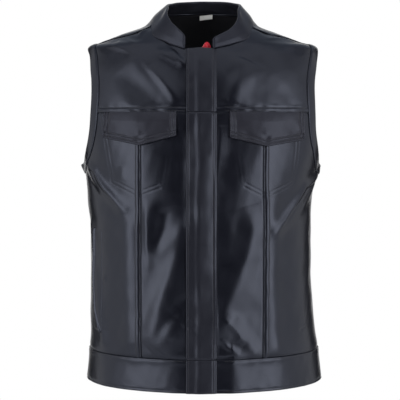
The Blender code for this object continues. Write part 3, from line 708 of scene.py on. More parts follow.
# small things repeated many times, joined into one piece
def pattern(name, bm):  # a small mesh to copy, and its corners
    single = bpy.data.meshes.new(name)
    bm.to_mesh(single)
    bm.free()
    return single, np.array([vert.co[:] for vert in single.vertices])


def copies(single, corners):  # corners: one row of points for each copy
    bm = bmesh.new()
    for _ in range(len(corners)):
        bm.from_mesh(single)
    for vert, corner in zip(bm.verts, corners.reshape(-1, 3)):
        vert.co = corner
    return bm


# stitching: short threads, one piece for each sewn piece
stitchLook = {"pitch": 3.6 * mm, "half": 1.45 * mm, "thick": 0.36 * mm, "sunk": 0.02 * mm, "ahead": 0.4}
threadRuns = {}


def sew(name, line, facing):
    length, pitch = runLength(line), stitchLook["pitch"]
    count = max(int(length[-1] / pitch), 1)
    middle = (np.arange(count) + 0.5) * length[-1] / count
    step = stitchLook["ahead"] * pitch
    ahead = between(middle + step, length, line) - between(middle - step, length, line)
    spot, normal = between(middle, length, line), between(middle, length, facing)
    threadRuns.setdefault(name, []).append((spot, ahead, normal))


def makeThreads():
    bm = bmesh.new()
    bmesh.ops.create_uvsphere(bm, u_segments=5, v_segments=4, radius=1.0)
    single, form = pattern("stitch", bm)
    local = form * (stitchLook["thick"], stitchLook["thick"], stitchLook["half"])
    for name, runs in threadRuns.items():
        spot, ahead, normal = (np.vstack([run[k] for run in runs]) for k in range(3))
        ahead = unit(ahead)
        beside = unit(np.cross(normal, ahead))
        up = np.cross(ahead, beside)
        where = spot - up * stitchLook["sunk"]
        bm = copies(single, where[:, None] + local[None, :, 2:3] * ahead[:, None]
                    + local[None, :, :1] * beside[:, None] + local[None, :, 1:2] * up[:, None])
        bmesh.ops.recalc_face_normals(bm, faces=bm.faces)
        keep(finished("thread_" + name, bm, "thread"), "leather")
    bpy.data.meshes.remove(single)


# the pieces, and what each one stands for
made = []


def keep(piece, slot, *nodes, cut=None, held="hung", rests=()):
    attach(piece, "root")
    if nodes:
        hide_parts(*nodes)
    made.append(piece.name)


def sewPiece(name, place, spec, rests, sewn=True, **more):  # rows: edge, distance from it, clear at both ends
    form = {**sheetForm, **spec}
    piece, data = sewnSheet(name, place, form, **more)
    for which, distance, *clear in form["rows"] if sewn else ():
        sew(name, *seamRow(data, which, distance, clear))
    keep(piece, form["slot"], name, cut=form["cut"], held=form["held"], rests=rests)
    return data


yokeSpec = {
    "cells": (96, 78), "size": (0.205, 0.16), "wall": 1.6 * mm, "cut": (0.215, 0.190, 0.0322),
    "edges": {"bottom": "lap", "top": "butt"},
    "rows": (("bottom", 2.6 * mm, 26 * mm, 0), ("bottom", 8.6 * mm, 26 * mm, 0), ("top", 3 * mm, 0, 0)),
    "closingRows": 7, "neckRows": 7,  # their parts of the front edge
}


def makeYoke(side):
    close, seam, neckLow = closing(side), bodyShape["yokeSeam"], bodyShape["frontNeck"]
    armStart = armholeAngle(seam)
    armX = smoothPoint(armholePlace(side, armStart))[0]
    neck = np.vstack((frontPlace(close, neckLow), neckPlaces(side, neckEnd(side), armhole["seamAtNeck"])))
    front = chain((upright(close, seam, neckLow), yokeSpec["closingRows"]),
                  (edge(neck), yokeSpec["neckRows"]))
    place = patch(level(close, armX, seam), shoulderEdge(side), front,
                  armholeEdge(side, armStart, shoulderAngle))
    sewPiece("yoke_" + sides[side], place, yokeSpec, ["collar", "back_panel"], flip=side < 0)


pocketSpec = {  # the bags behind the chest panels show only as two rows of stitching: x and z, mm
    "outline": {
        -1: ((-176, -148), (-167, -191), (-154, -266), (-109, -288), (-62, -270), (-52, -205)),
        1: ((56, -208), (64, -268), (108, -291), (158, -268), (164, -214), (168, -160)),
    },
    "gap": 6.4 * mm, "perEdge": 30, "pathStep": 6, "shortest": 3,
    "groove": (1.6, -0.45), "innerGroove": (1.6, -0.12),  # width and height, mm
    "sunk": 0.6 * mm, "stripMiddle": 5 * mm, "stripClear": 6.5 * mm,  # not on the raised strip
}


def pocketRows(side):  # places along both rows
    corners = np.array(pocketSpec["outline"][side]) * mm
    steps = pocketSpec["perEdge"]
    path = np.vstack([np.linspace(a, b, steps, endpoint=False) for a, b in zip(corners[:-1], corners[1:])])
    places = np.stack((bearingAt(path[:, 0], path[:, 1]), path[:, 1]), -1)
    points = smoothPoint(places)
    inner = side * np.cross(unit(np.gradient(points, axis=0)), outward(places))
    inner *= np.sign((inner * (points.mean(0) - points)).sum())
    return [places, walk(places, inner, np.full(len(places), pocketSpec["gap"]), 3)]


def pocketGrooves(side):
    count, found = pocketSpec["perEdge"], []
    for row in pocketRows(side):
        row = row[::-side] / (degree, mm)  # the edge beside the placket comes last
        for part, groove in ((row[:-count], "groove"), (row[-count:], "innerGroove")):
            found.append((part[::pocketSpec["pathStep"]], *pocketSpec[groove], 0))
    return found


def sewPockets(side):
    for row in pocketRows(side):
        points, normals = onLeather(row, bodyShape["wall"] - pocketSpec["sunk"])
        fromStrip = np.abs(np.abs(points[:, 0]) - bodyShape["verticalSeam"] - pocketSpec["stripMiddle"])
        clear = fromStrip > pocketSpec["stripClear"]
        cuts = np.flatnonzero(np.diff(clear.astype(int))) + 1
        for part in np.split(np.arange(len(points)), cuts):
            if clear[part[0]] and len(part) > pocketSpec["shortest"]:
                sew("pocket_" + sides[side], points[part], normals[part])


panelLow, panelTop = bodyShape["hemSeam"] - bodyShape["underHem"], bodyShape["yokeSeam"] + bodyShape["tuck"]
frontSpec = {
    "cells": (64, 230), "size": (0.1, 0.42), "wall": 1.6 * mm, "cut": (0.112, 0.425, 0.0445),
    "focus": (0.62, 0.90, 2.2, 0.02), "edges": {"top": "under", "end": "butt", "bottom": "under"},
}


def makeFront(side):
    word = sides[side]
    place = uprightStrip(closing(side), side * bodyShape["verticalSeam"], panelLow, panelTop)
    sewPiece("front_panel_" + word, place, frontSpec, ["yoke_" + word], flip=side < 0,
             grooves=pocketGrooves(side))


sideSpec = {**frontSpec, "cells": (84, 230), "size": (0.16, 0.42), "cut": (0.175, 0.430, 0.0657),
            "seamRows": 19, "armholeRows": 7}  # their parts of the outer edge


def makeSide(side):
    word, seam, armEnd = sides[side], side * bodyShape["verticalSeam"], armholeAngle(panelTop)
    corner, underarm = armholePlace(side, armEnd), armholePlace(side, 0.0)
    hemCorner = (side * bodyShape["sideSeam"], panelLow)
    outer = chain((straight(hemCorner, underarm), sideSpec["seamRows"]),
                  (armholeEdge(side, 0.0, armEnd), sideSpec["armholeRows"]))
    place = patch(straight(frontPlace(seam, panelLow), hemCorner),
                  level(seam, smoothPoint(corner)[0], panelTop), upright(seam, panelLow, panelTop), outer)
    sewPiece("side_panel_" + word, place, sideSpec, ["yoke_" + word], flip=side < 0,
             grooves=pocketGrooves(side))


backSpec = {
    "cells": (150, 170), "size": (0.45, 0.62), "ratio": (1.0, 1.6), "wall": 1.6 * mm,
    "cut": (0.560, 0.620, 0.297), "crowding": 1.25, "partRows": (13, 17, 6), "atUnderarm": -245 * mm,
    "atShoulder": -16 * mm, "edges": {"start": "butt", "end": "butt", "bottom": "under"},
    "rows": (("start", 3 * mm), ("end", 3 * mm)),  # pressed in by the yokes' threads
    "turned": 1.5 * mm, "turnedWide": 7 * mm, "turnedFrom": (0.82, 0.86),  # thick along the shoulder seam
}


def makeBack():
    spec, seam = backSpec, bodyShape["sideSeam"]
    neck = edge(neckPlaces(1, math.pi, armhole["seamAtNeck"]))
    shoulder = shoulderEdge(1)
    middle = [(math.pi, z) for z in (panelLow, spec["atUnderarm"], spec["atShoulder"])]
    middle.append(neck(np.zeros(1))[0])
    outer = (straight((seam, panelLow), armholePlace(1, 0.0)), armholeEdge(1, 2 * math.pi, shoulderAngle),
             lambda share: shoulder(1 - share))
    half = patch(straight((math.pi, panelLow), (seam, panelLow)), neck,
                 chain(*zip(map(straight, middle[:-1], middle[1:]), spec["partRows"])),
                 chain(*zip(outer, spec["partRows"])))

    def place(s, t):
        spread = half(1 - (1 - np.abs(2 * s - 1)) ** spec["crowding"], t)
        spread[:, 0] = np.where(s < 0.5, spread[:, 0], 2 * math.pi - spread[:, 0])
        return spread

    def lift(s, t, away):
        toSeam = np.minimum(away["start"], away["end"]).ravel()
        return spec["turned"] * bell(toSeam, spec["turnedWide"]) * softStep(t, *spec["turnedFrom"])
    sewPiece("back_panel", place, spec, ["yoke_right", "yoke_left"], sewn=False, lift=lift)


hemSpec = {
    "cells": (96, 26), "size": (0.29, 0.054), "wall": 2.0 * mm, "cut": (0.285, 0.054), "held": "folded",
    "edges": {"top": "lap", "bottom": "turned", "start": "butt", "end": "butt"},
    "rows": (("top", 2.6 * mm, 24 * mm, 0), ("bottom", 4 * mm, 24 * mm, 0)),
}
hemBackSpec = {**hemSpec, "cells": (170, 24), "size": (0.52, 0.054), "cut": (0.535, 0.054),
               "rows": (("top", 2.6 * mm, 0, 0), ("bottom", 4 * mm, 0, 0))}


def makeHem():
    low, high, seam = bodyShape["hemEdge"], bodyShape["hemSeam"], bodyShape["sideSeam"]
    for side, word in sides.items():
        close, outer = closing(side), side * seam
        place = patch(straight(frontPlace(close, low), (outer, low)),
                      straight(frontPlace(close, high), (outer, high)),
                      upright(close, low, high), straight((outer, low), (outer, high)))
        sewPiece("hem_" + word, place, hemSpec, ["front_panel_" + word, "side_panel_" + word], flip=side < 0)
    far = 2 * math.pi - seam
    place = patch(straight((seam, low), (far, low)), straight((seam, high), (far, high)),
                  straight((seam, low), (seam, high)), straight((far, low), (far, high)))
    sewPiece("hem_back", place, hemBackSpec, ["back_panel"])


placketSpec = {
    "free": -27 * mm, "sewn": 25 * mm, "columns": 56, "wide": 52 * mm, "wall": 2.0 * mm, "held": "folded",
    # the trim leather's lighter colour is painted light, lifting the placket's tone
    "finish": "trimLeather", "band": (5 * mm, 6 * mm), "ratio": (1.6, 1.8), "pucker": 0.1 * mm,
    "sunk": 0.3 * mm, "lift": 1.6 * mm,
    "hump": (  # share across and height, mm: flat at the free edge, over the zip, then down to the sewn edge
        (0.0, 2.2), (0.06, 2.7), (0.14, 2.7), (0.25, 3.0), (0.31, 3.6), (0.37, 4.4), (0.45, 4.9), (0.55, 4.5),
        (0.65, 3.85), (0.75, 3.1), (0.85, 2.2), (0.92, 1.2), (0.955, 0.1), (0.98, -0.7), (1.0, -0.8)),
    "sway": ((0.02, 47.0, 0.0), (0.012, 19.0, 1.0)),  # of the hump: share across, length in mm, start
    "swell": (0.15, 31.0), "swellAt": 0.40, "swellWide": 0.11,
    "bumps": ((-60, 10, 0.5), (-178, 14, 0.6), (-316, 12, 0.9), (-453, 16, 0.8), (-552, 12, 0.6)),
    "rows": (("start", 4.2 * mm, 0, 0), ("end", 6.5 * mm, 0, 0)), "topRow": (3 * mm, (4 * mm, 4 * mm)),
    "lengths": (  # name, lower and upper end with the edge there, cells, cut
        ("placket_yoke", "yokeSeam", "butt", "placketTop", "turned", 60, (0.056, 0.118)),
        ("placket_body", "hemSeam", "butt", "yokeSeam", "butt", 210, (0.056, 0.420)),
        ("placket_hem", "hemEdge", "turned", "hemSeam", "butt", 30, (0.056, 0.054)),
    ),
}


def makePlacket():
    spec = placketSpec
    hump = smoothRows(spec["hump"], (0,), fineness["curve"])
    for name, lowEnd, lowEdge, highEnd, highEdge, cells, cut in spec["lengths"]:
        low, high = bodyShape[lowEnd], bodyShape[highEnd]

        def lift(s, t, away):
            z = (low + (high - low) * t) / mm
            sway = sum(share * np.sin(z / size + start) for share, size, start in spec["sway"])
            up = spec["lift"] + np.interp(s - sway * np.sin(math.pi * s), hump[:, 0], hump[:, 1]) * mm
            swell = spec["swell"][0] * np.sin(z / spec["swell"][1])
            swell += sum(height * bell(z - middle, reach) for middle, reach, height in spec["bumps"])
            return up + swell * mm * bell(s - spec["swellAt"], spec["swellWide"])
        sheet = {**spec, "cells": (spec["columns"], cells), "size": (spec["wide"], high - low), "cut": cut,
                 "edges": {"start": "turned", "top": highEdge, "bottom": lowEdge}}
        place = uprightStrip(spec["free"], spec["sewn"], low, high)
        data = sewPiece(name, place, sheet, ["front_panel_left"], lift=lift)
        if highEdge == "turned":
            sew(name, *seamRow(data, "top", *spec["topRow"]))


collarSpec = {
    "rows": {  # share from the front end to the middle of the back, lean in and rise, mm
        -1: ((0.0, 1, 21), (0.05, 3, 28), (0.12, 9, 34), (0.2, 16, 36), (0.28, 18, 33), (0.38, 21, 25.5),
             (0.6, 30, 17), (0.8, 22, 17), (1.0, 12, 18.5)),
        1: ((0.0, 1, 16), (0.05, 4, 19), (0.15, 8, 24), (0.25, 11, 29), (0.35, 13, 28), (0.45, 16.5, 23),
            (0.6, 25, 18.5), (0.8, 20, 18.5), (1.0, 12, 18.5)),
    },
    "columns": 230, "faceRows": 12, "turnRows": 9, "wall": 0.9 * mm, "cut": (0.500, 0.058),
    "thick": 3.0 * mm, "base": 0.8 * mm, "fill": 2.4, "lift": 0.6 * mm, "below": 1.2 * mm,
    "round": 6 * mm, "drop": 0.45, "thinFrom": 0.7, "thinTo": 0.97,  # its front ends
    "sweep": 16 * mm,  # how far its foot runs out over the shoulders, where no step shows
    "sweepFrom": (0.12, 0.27), "sweepBack": (0.74, 0.92), "backLess": 0.6,
    "footLift": 0.35 * mm, "footSink": 1.3 * mm, "bow": 0.5, "bowLess": 0.41,
    "swell": 0.25 * mm, "swellSize": 34, "swellSeed": 11,
    "easeReach": 15, "easeWide": 7.0, "easeFrom": (0.10, 0.22),  # rounder towards the shoulders
    "row": 3.5 * mm, "rowTrims": {"top": 4 * mm, "start": 5 * mm, "end": 5 * mm},
}


def makeCollar():
    spec, count, reach = collarSpec, collarSpec["faceRows"], collarSpec["easeReach"]
    face = np.linspace(0, 1, count)
    turn = np.linspace(0, math.pi, spec["turnRows"])[1:-1]
    up = np.concatenate((face, np.ones(len(turn)), face[::-1]))  # up outside, over the top, down inside
    bend = np.concatenate((np.zeros(count), turn, np.full(count, math.pi)))
    s = np.linspace(0, 1, spec["columns"] + 1)
    points, facings = np.zeros((2, len(up), len(s), 3))
    for side in sides:
        mine = s >= 0.5 if side > 0 else s <= 0.5
        share = np.abs(2 * s[mine] - 1)
        around = edge(neckPlaces(side, math.pi, neckEnd(side)))
        base, _ = onLeather(around(share), bodyShape["wall"] + spec["lift"])
        fine = smoothRows(spec["rows"][side], (0,), fineness["curve"])
        lean, rise = (between(1 - share, fine[:, 0], fine[:, 1:]) * mm).T
        length = runLength(base)
        toEnd = length[-1] - length if side > 0 else length
        corner = np.clip(1 - toEnd / spec["round"], 0, 1)
        rise = rise - spec["drop"] * spec["round"] * (1 - np.sqrt(1 - corner ** 2))
        thinner = np.clip(1 - toEnd / (spec["thinFrom"] * spec["thick"]), 0, spec["thinTo"])
        thick = spec["thick"] * np.sqrt(1 - thinner ** 2)
        inward = np.zeros_like(base)
        inward[:, :2] = -unit(base[:, :2])
        tall = unit(inward * lean[:, None] + np.array((0, 0, 1.0)) * rise[:, None])
        out = unit(np.cross(np.gradient(base, axis=0), tall))
        out *= np.sign(-(out * inward).sum(1))[:, None]
        swell = spec["swell"] * ripple(base, spec["swellSize"], spec["swellSeed"])
        blend = softStep(1 - share, *spec["sweepFrom"])
        blend = blend * (1 - spec["backLess"] * softStep(1 - share, *spec["sweepBack"]))
        foot, _ = onLeather(walk(around(share), -inward, spec["sweep"] * blend + 1e-6),
                            bodyShape["wall"] + spec["footLift"] - spec["footSink"] * blend)
        foot = foot * blend[:, None] + (base - tall * spec["below"]) * (1 - blend)[:, None]
        body = np.hypot(lean, rise) - thick / 2
        bow = base + tall * (body * (spec["bow"] - spec["bowLess"] * blend))[:, None]
        crest = base + tall * body[:, None]
        for row, (h, angle) in enumerate(zip(up, bend)):
            if angle == 0:  # the outer face, from its foot up in one sweep
                spine = foot * (1 - h) ** 2 + bow * 2 * h * (1 - h) + crest * h * h
                slim = (spec["base"] * (1 - blend) + spec["fill"] * spec["thick"] * h) / spec["thick"]
                slim = np.minimum(1.0, slim)
            else:
                climb = -spec["below"] + (body + spec["below"]) * h + thick / 2 * math.sin(angle)
                spine, slim = base + tall * climb[:, None], 1.0
            offset = thick / 2 * (1 + math.cos(angle)) * slim + swell * math.sin(math.pi * h)
            points[row, mine] = spine + out * offset[:, None]
            facings[row, mine] = out if angle < math.pi / 2 else -out
    weight = bell(np.arange(-reach, reach + 1), spec["easeWide"])
    padded = np.pad(points, ((0, 0), (reach, reach), (0, 0)), mode="edge")
    soft = sum(part * padded[:, step:step + len(s)] for step, part in enumerate(weight / weight.sum()))
    points += (soft - points) * softStep(1 - np.abs(2 * s - 1), *spec["easeFrom"])[:, None]
    along, climb = runLength(points, 1), runLength(points, 0)
    # the collar leather's lighter colour is painted light, lifting the collar's tone
    piece = gridObject("collar", points, np.stack((along, climb), -1), "collarLeatherPaintedLighter", spec["wall"])
    along, climb = along[:count], climb[:count]
    data = {"points": points[:count], "normals": facings[:count],
            "away": {"top": climb[-1:] - climb, "start": along, "end": along[:, -1:] - along}}
    for which, trim in spec["rowTrims"].items():
        sew("collar", *seamRow(data, which, spec["row"], (trim, trim)))
    keep(piece, "leather", "collar", cut=spec["cut"], held="folded",
         rests=["yoke_right", "yoke_left", "back_panel"])


bandSpec = {
    "wide": 15 * mm, "inside": 6 * mm, "over": 0.9 * mm, "edgeOver": 0.1 * mm, "under": -0.8 * mm,
    "columns": 260, "overRows": 12, "turnRows": 9, "insideRows": 6, "wall": 0.9 * mm, "cut": (0.025, 0.600),
    "row": 1.9 * mm, "rowWide": 0.9 * mm, "sunk": 0.35 * mm, "probe": 0.02, "joined": 0.02 * mm,
}


def makeBand(side):
    spec, count, word = bandSpec, bandSpec["overRows"], sides[side]
    over, under = bodyShape["wall"] + spec["over"], spec["under"]
    middle, radius = (over + under) / 2, (over - under) / 2
    turn = np.linspace(0, math.pi, spec["turnRows"])[1:-1]
    profile = [(width, over) for width in np.linspace(spec["wide"], 0, count)]
    profile[0] = (spec["wide"], bodyShape["wall"] + spec["edgeOver"])
    profile += [(-radius * math.sin(angle), middle + radius * math.cos(angle)) for angle in turn]
    profile += [(width, under) for width in np.linspace(0, spec["inside"], spec["insideRows"])]
    angles = np.linspace(0, 2 * math.pi, spec["columns"] + 1)
    places = armholePlaces(side, angles)
    ahead, behind = (smoothPoint(armholePlaces(side, angles + way * spec["probe"])) for way in (1, -1))
    inward = side * np.cross(outward(places), ahead - behind)
    rows = [onLeather(walk(places, inward, np.full(len(angles), width)), lift) for width, lift in profile]
    points, facings = (np.array(part) for part in zip(*rows))
    along = runLength(points, 1)
    groove = spec["sunk"] * bell(runLength(points, 0) - spec["row"], spec["rowWide"])
    points[:count] -= (facings * groove[..., None])[:count]
    around = runLength(points, 0)
    name = "armhole_band_" + word
    piece = gridObject(name, points, np.stack((along, around), -1), "leather", spec["wall"], side < 0)
    bm = bmesh.new()
    bm.from_mesh(piece.data)
    bmesh.ops.remove_doubles(bm, verts=bm.verts, dist=spec["joined"])  # joins the ring's ends
    bm.to_mesh(piece.data)
    bm.free()
    data = {"points": points[:count], "normals": facings[:count], "away": {"bottom": around[:count]}}
    sew(name, *seamRow(data, "bottom", spec["row"]))
    keep(piece, "leather", name, cut=spec["cut"], held="folded",
         rests=["yoke_" + word, "side_panel_" + word, "back_panel"])


flapSpec = {
    "across": {-1: (43, 104, 168), 1: (46, 108, 175)},  # inner corner, point and outer corner: x, then z, mm
    "down": {-1: (-186, -202, -189), 1: (-189, -204, -192)},
    "cells": (120, 52), "size": (0.13, 0.05), "wall": 2.0 * mm, "cut": (0.135, 0.062, 0.0076),
    # the flap leather's lighter colour is painted light, lifting the flaps' tone
    "finish": "flapLeather", "band": (14 * mm, 14 * mm), "ratio": (1.6, 1.6),
    "pucker": 0.25 * mm, "sunk": 1.25 * mm, "overSeam": 1.5 * mm,
    "rows": [(which, row, row, row * both) for row in (4.6 * mm, 10.4 * mm)
             for which, both in (("start", 0), ("end", 0), ("bottom", 1))],
    "edges": {"start": "turned", "end": "turned", "bottom": "turned"},
    "lift": 0.6 * mm, "step": 2.4 * mm, "stepSteep": 3.2, "stepPower": 0.7,
    "standOff": 2.4 * mm, "standPower": 1.6, "belly": 0.8 * mm,
    "snap": (107 * mm, -191 * mm), "dimple": 2.0 * mm, "dimpleWide": 6 * mm,  # pulled in by the snap behind
    "lump": 0.7 * mm, "lumpWide": 4.5 * mm, "lumpAbove": 8 * mm, "lumpFlat": 0.6,
}


def makeFlap(side):
    spec, top = flapSpec, bodyShape["yokeSeam"] + flapSpec["overSeam"]
    cornerX, cornerZ = (np.array(spec[key][side]) * mm for key in ("across", "down"))

    def spot(s, t):
        x = np.interp(s, (0, 0.5, 1), cornerX)
        low = np.interp(x, cornerX, cornerZ)
        return x, low + (top - low) * t

    def place(s, t):
        x, z = spot(s, t)
        return np.stack((bearingAt(side * x, z), z), -1)

    def lift(s, t, away):
        down, (x, z) = 1 - t, spot(s, t)
        up = spec["lift"] + spec["step"] * np.clip(down * spec["stepSteep"], 0, 1) ** spec["stepPower"]
        up += spec["standOff"] * down ** spec["standPower"]
        up += spec["belly"] * np.sin(math.pi * s) * np.sin(math.pi * down)
        fromX, fromZ = x - spec["snap"][0], z - spec["snap"][1]
        up -= spec["dimple"] * bell(np.hypot(fromX, fromZ), spec["dimpleWide"])
        above = (fromZ - spec["lumpAbove"]) * spec["lumpFlat"]
        return up + spec["lump"] * bell(np.hypot(fromX, above), spec["lumpWide"])
    sewPiece("pocket_flap_" + sides[side], place, spec, ["yoke_" + sides[side]], lift=lift, flip=side < 0)


stripSpec = {
    "cells": (14, 180), "size": (0.0105, 0.36), "ratio": (1.0, 1.0), "wall": 1.4 * mm, "pucker": 0.08 * mm,
    "cut": (0.013, 0.378), "wide": 10.5 * mm, "underFlap": 14 * mm,  # starts hidden under the flap's point
    "lift": 1.0 * mm, "fullness": 0.45, "within": (0.02, 0.98), "endSink": 1.6 * mm, "endShare": 0.02,
    "edges": {"start": "turned", "end": "turned", "bottom": "under"},
    "rows": (("start", 1.9 * mm, 3 * mm, 0), ("end", 1.9 * mm, 3 * mm, 0)), "held": "folded",
}


def makeStrip(side):
    spec, seam, word = stripSpec, bodyShape["verticalSeam"], sides[side]
    top = flapSpec["down"][side][1] * mm + spec["underFlap"]
    place = uprightStrip(side * seam, side * (seam + spec["wide"]), panelLow, top)

    def lift(s, t, away):
        rise = spec["lift"] * np.sin(math.pi * np.clip(s, *spec["within"])) ** spec["fullness"]
        return rise - spec["endSink"] * bell(t - 1, spec["endShare"])
    rests = ["front_panel_" + word, "side_panel_" + word]
    sewPiece("seam_strip_" + word, place, spec, rests, lift=lift, flip=side < 0)


weltSpec = {
    "near": 172 * mm, "wide": 18 * mm, "low": -529 * mm, "high": -346 * mm,
    "cells": (44, 110), "size": (0.033, 0.183), "ratio": (1.0, 1.0), "wall": 1.4 * mm, "cut": (0.033, 0.186),
    "pucker": 0.1 * mm, "sunk": 0.3 * mm, "held": "folded",
    "edges": {"start": "turned", "end": "turned"}, "rows": (("end", 2 * mm, 3 * mm, 3 * mm),),
    "lift": {-1: 0.8 * mm, 1: 0.1 * mm}, "edgeLift": 0.35, "fullness": 0.6, "endSink": 1.4 * mm,
    "endShare": 0.02, "lip": {-1: 3.0 * mm, 1: 0.2 * mm}, "lipWide": 0.07,
    "lipPath": ((0.0, 0.12), (0.10, 0.36), (0.22, 0.58), (0.40, 0.71), (1.0, 0.74)),  # share up, share across
}


def makeWelt(side):
    spec = weltSpec
    place = uprightStrip(side * spec["near"], side * (spec["near"] + spec["wide"]), spec["low"], spec["high"])
    up, across = np.array(spec["lipPath"]).T

    def lift(s, t, away):
        arch = np.sin(math.pi * np.clip(s, 0, 1)) ** spec["fullness"]
        rise = spec["lift"][side] * (spec["edgeLift"] + (1 - spec["edgeLift"]) * arch)
        rise += spec["lip"][side] * bell(s - np.interp(t, up, across), spec["lipWide"])
        return rise - spec["endSink"] * (bell(t, spec["endShare"]) + bell(1 - t, spec["endShare"]))
    word = sides[side]
    sewPiece("pocket_welt_" + word, place, spec, ["side_panel_" + word], lift=lift, flip=side < 0)


def bevelEdges(bm, edges, width, segments):
    bmesh.ops.bevel(bm, geom=edges, offset=width, segments=segments, profile=0.5, affect="EDGES", material=-1)


zipSpec = {
    "cells": (10, 150), "size": (13.6 * mm, 0.58), "ratio": (1.0, 1.0), "finish": "tape", "wall": 1.0 * mm,
    "cut": (0.0146, 0.590), "gap": 0.3 * mm, "under": -2.8 * mm,
    "tooth": (2.6 * mm, 1.7 * mm, 1.2 * mm), "toothPitch": 2.4 * mm, "toothBevel": 0.25 * mm,
    "toothRow": 0.2 * mm, "toothTrim": (4 * mm, 4 * mm), "toothLift": 0.5 * mm, "toothAside": 0.4 * mm,
}


def makeZip():
    spec, pitch, low, high = zipSpec, zipSpec["toothPitch"], bodyShape["hemEdge"], bodyShape["frontNeck"]
    bm = bmesh.new()
    bmesh.ops.create_cube(bm, size=1.0)
    bmesh.ops.scale(bm, vec=spec["tooth"], verts=bm.verts)
    bevelEdges(bm, bm.edges[:], spec["toothBevel"], 1)
    single, form = pattern("tooth", bm)
    for side, word in sides.items():
        near = bodyShape["zipLine"] + side * spec["gap"]
        place = uprightStrip(near, near + side * spec["size"][0], low, high)
        name = "zip_tape_" + word
        piece, data = sewnSheet(name, place, {**sheetForm, **spec}, spec["under"], side < 0, True)
        line, facing = seamRow(data, "start", spec["toothRow"], spec["toothTrim"])
        length = runLength(line)
        first = 0.5 + 0.25 * (side + 1)  # the two sides take turns
        middle = np.arange(first, int(length[-1] / pitch)) * pitch
        spots = between(middle, length, line) + between(middle, length, facing) * spec["toothLift"]
        spots[:, 0] += side * spec["toothAside"]
        keep(finished("zip_teeth_" + word, copies(single, form + spots[:, None]), "teeth"), "tape")
        keep(piece, "tape", name, cut=spec["cut"], rests=["front_panel_" + word])
    bpy.data.meshes.remove(single)


sliderSpec = {  # shares of the slider's size
    "cells": (8, 12), "taper": 0.66, "taperPower": 1.5, "lean": 0.09, "fill": 0.94,
    "bulge": 0.10, "thick": 0.55, "peakRound": 0.06, "peakFrom": 0.9, "peakPower": 2.2,
    "bridge": (0.30, 0.32, 0.62), "bridgeAt": (0, -0.26, 0.02),  # it carries the pull
    "bevel": 0.5 * mm, "bevelAngle": math.radians(50),
}


def makeSlider():
    spec = sliderSpec
    low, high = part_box("zip_slider")
    middle, size = (low + high) / 2, high - low
    bm = bmesh.new()
    bmesh.ops.create_grid(bm, x_segments=spec["cells"][0], y_segments=spec["cells"][1], size=0.5)
    for vert in bm.verts:  # a plate that narrows to a blunt peak
        u, v = vert.co.x * 2, vert.co.y * 2
        width = 1 - spec["taper"] * max(v, 0.0) ** spec["taperPower"]
        peak = spec["peakRound"] * size.z if v > spec["peakFrom"] else 0.0
        vert.co.x = (u / 2 * width + spec["lean"] * (v + 1) / 2) * size.x * spec["fill"]
        vert.co.y = -spec["bulge"] * size.y * (1 - u * u) * (1 - 0.5 * v * v)
        vert.co.z = v / 2 * size.z * spec["fill"] - abs(u) ** spec["peakPower"] * peak
    faces = bmesh.ops.extrude_face_region(bm, geom=bm.faces[:])
    behind = [item for item in faces["geom"] if isinstance(item, bmesh.types.BMVert)]
    bmesh.ops.translate(bm, vec=(0, spec["thick"] * size.y, 0), verts=behind)
    bmesh.ops.recalc_face_normals(bm, faces=bm.faces)
    bridge = bmesh.ops.create_cube(bm, size=1.0)["verts"]
    bmesh.ops.scale(bm, vec=size * Vector(spec["bridge"]), verts=bridge)
    bmesh.ops.translate(bm, vec=size * Vector(spec["bridgeAt"]), verts=bridge)
    bevelEdges(bm, list({item for vert in bridge for item in vert.link_edges}), spec["bevel"], 3)
    bmesh.ops.translate(bm, vec=middle, verts=bm.verts)
    piece = finished("zip_slider_shown", bm, "enamel")
    soft = piece.modifiers.new("soft", "BEVEL")
    soft.width, soft.segments = spec["bevel"], 2
    soft.limit_method, soft.angle_limit = "ANGLE", spec["bevelAngle"]
    keep(piece, "enamel", "zip_slider")


liningSpec = {
    "cells": (110, 56), "size": (0.27, 0.1), "ratio": (1.0, 1.0), "finish": "lining", "slot": "lining",
    "wall": 0.8 * mm, "cut": (0.285, 0.105, 0.0222),
    "low": -62 * mm, "ends": math.radians(58), "endHeight": 15 * mm,
    "belowNeck": 0.8 * mm, "under": -4.2 * mm, "crease": 0.5 * mm, "creaseTurns": 31, "creaseSlant": 3,
}


def makeLining():
    spec, ends = liningSpec, liningSpec["ends"]
    high = neckPlaces(1, math.pi - ends, math.pi)

    def place(s, t):
        turn = ends * (2 * s - 1)
        top = np.interp(math.pi - np.abs(turn), high[:, 0], high[:, 1]) - spec["belowNeck"]
        low = spec["low"] + (top - spec["endHeight"] - spec["low"]) * (turn / ends) ** 2
        return np.stack((math.pi + turn, low + (top - low) * t), -1)

    def lift(s, t, away):
        crease = np.sin(s * spec["creaseTurns"] + spec["creaseSlant"] * t) * (1 - t) * np.sin(math.pi * s)
        return spec["under"] - bodyShape["wall"] + spec["wall"] + spec["crease"] * crease
    sewPiece("neck_lining", place, spec, ["back_panel"], lift=lift, smooth=True)


labelSpec = {
    "cells": (30, 14), "size": (0.025, 0.01), "ratio": (1.0, 1.0), "finish": "label", "slot": "label",
    "wall": 0.5 * mm, "cut": (0.026, 0.010), "held": "laid",
    "wide": 25 * mm, "top": 39.5 * mm, "low": 32 * mm, "place": 8 * mm, "tilt": 1.2 * mm, "under": -6.2 * mm,
    "curl": 0.5 * mm, "wave": 0.2 * mm, "waveTurns": 5,
}


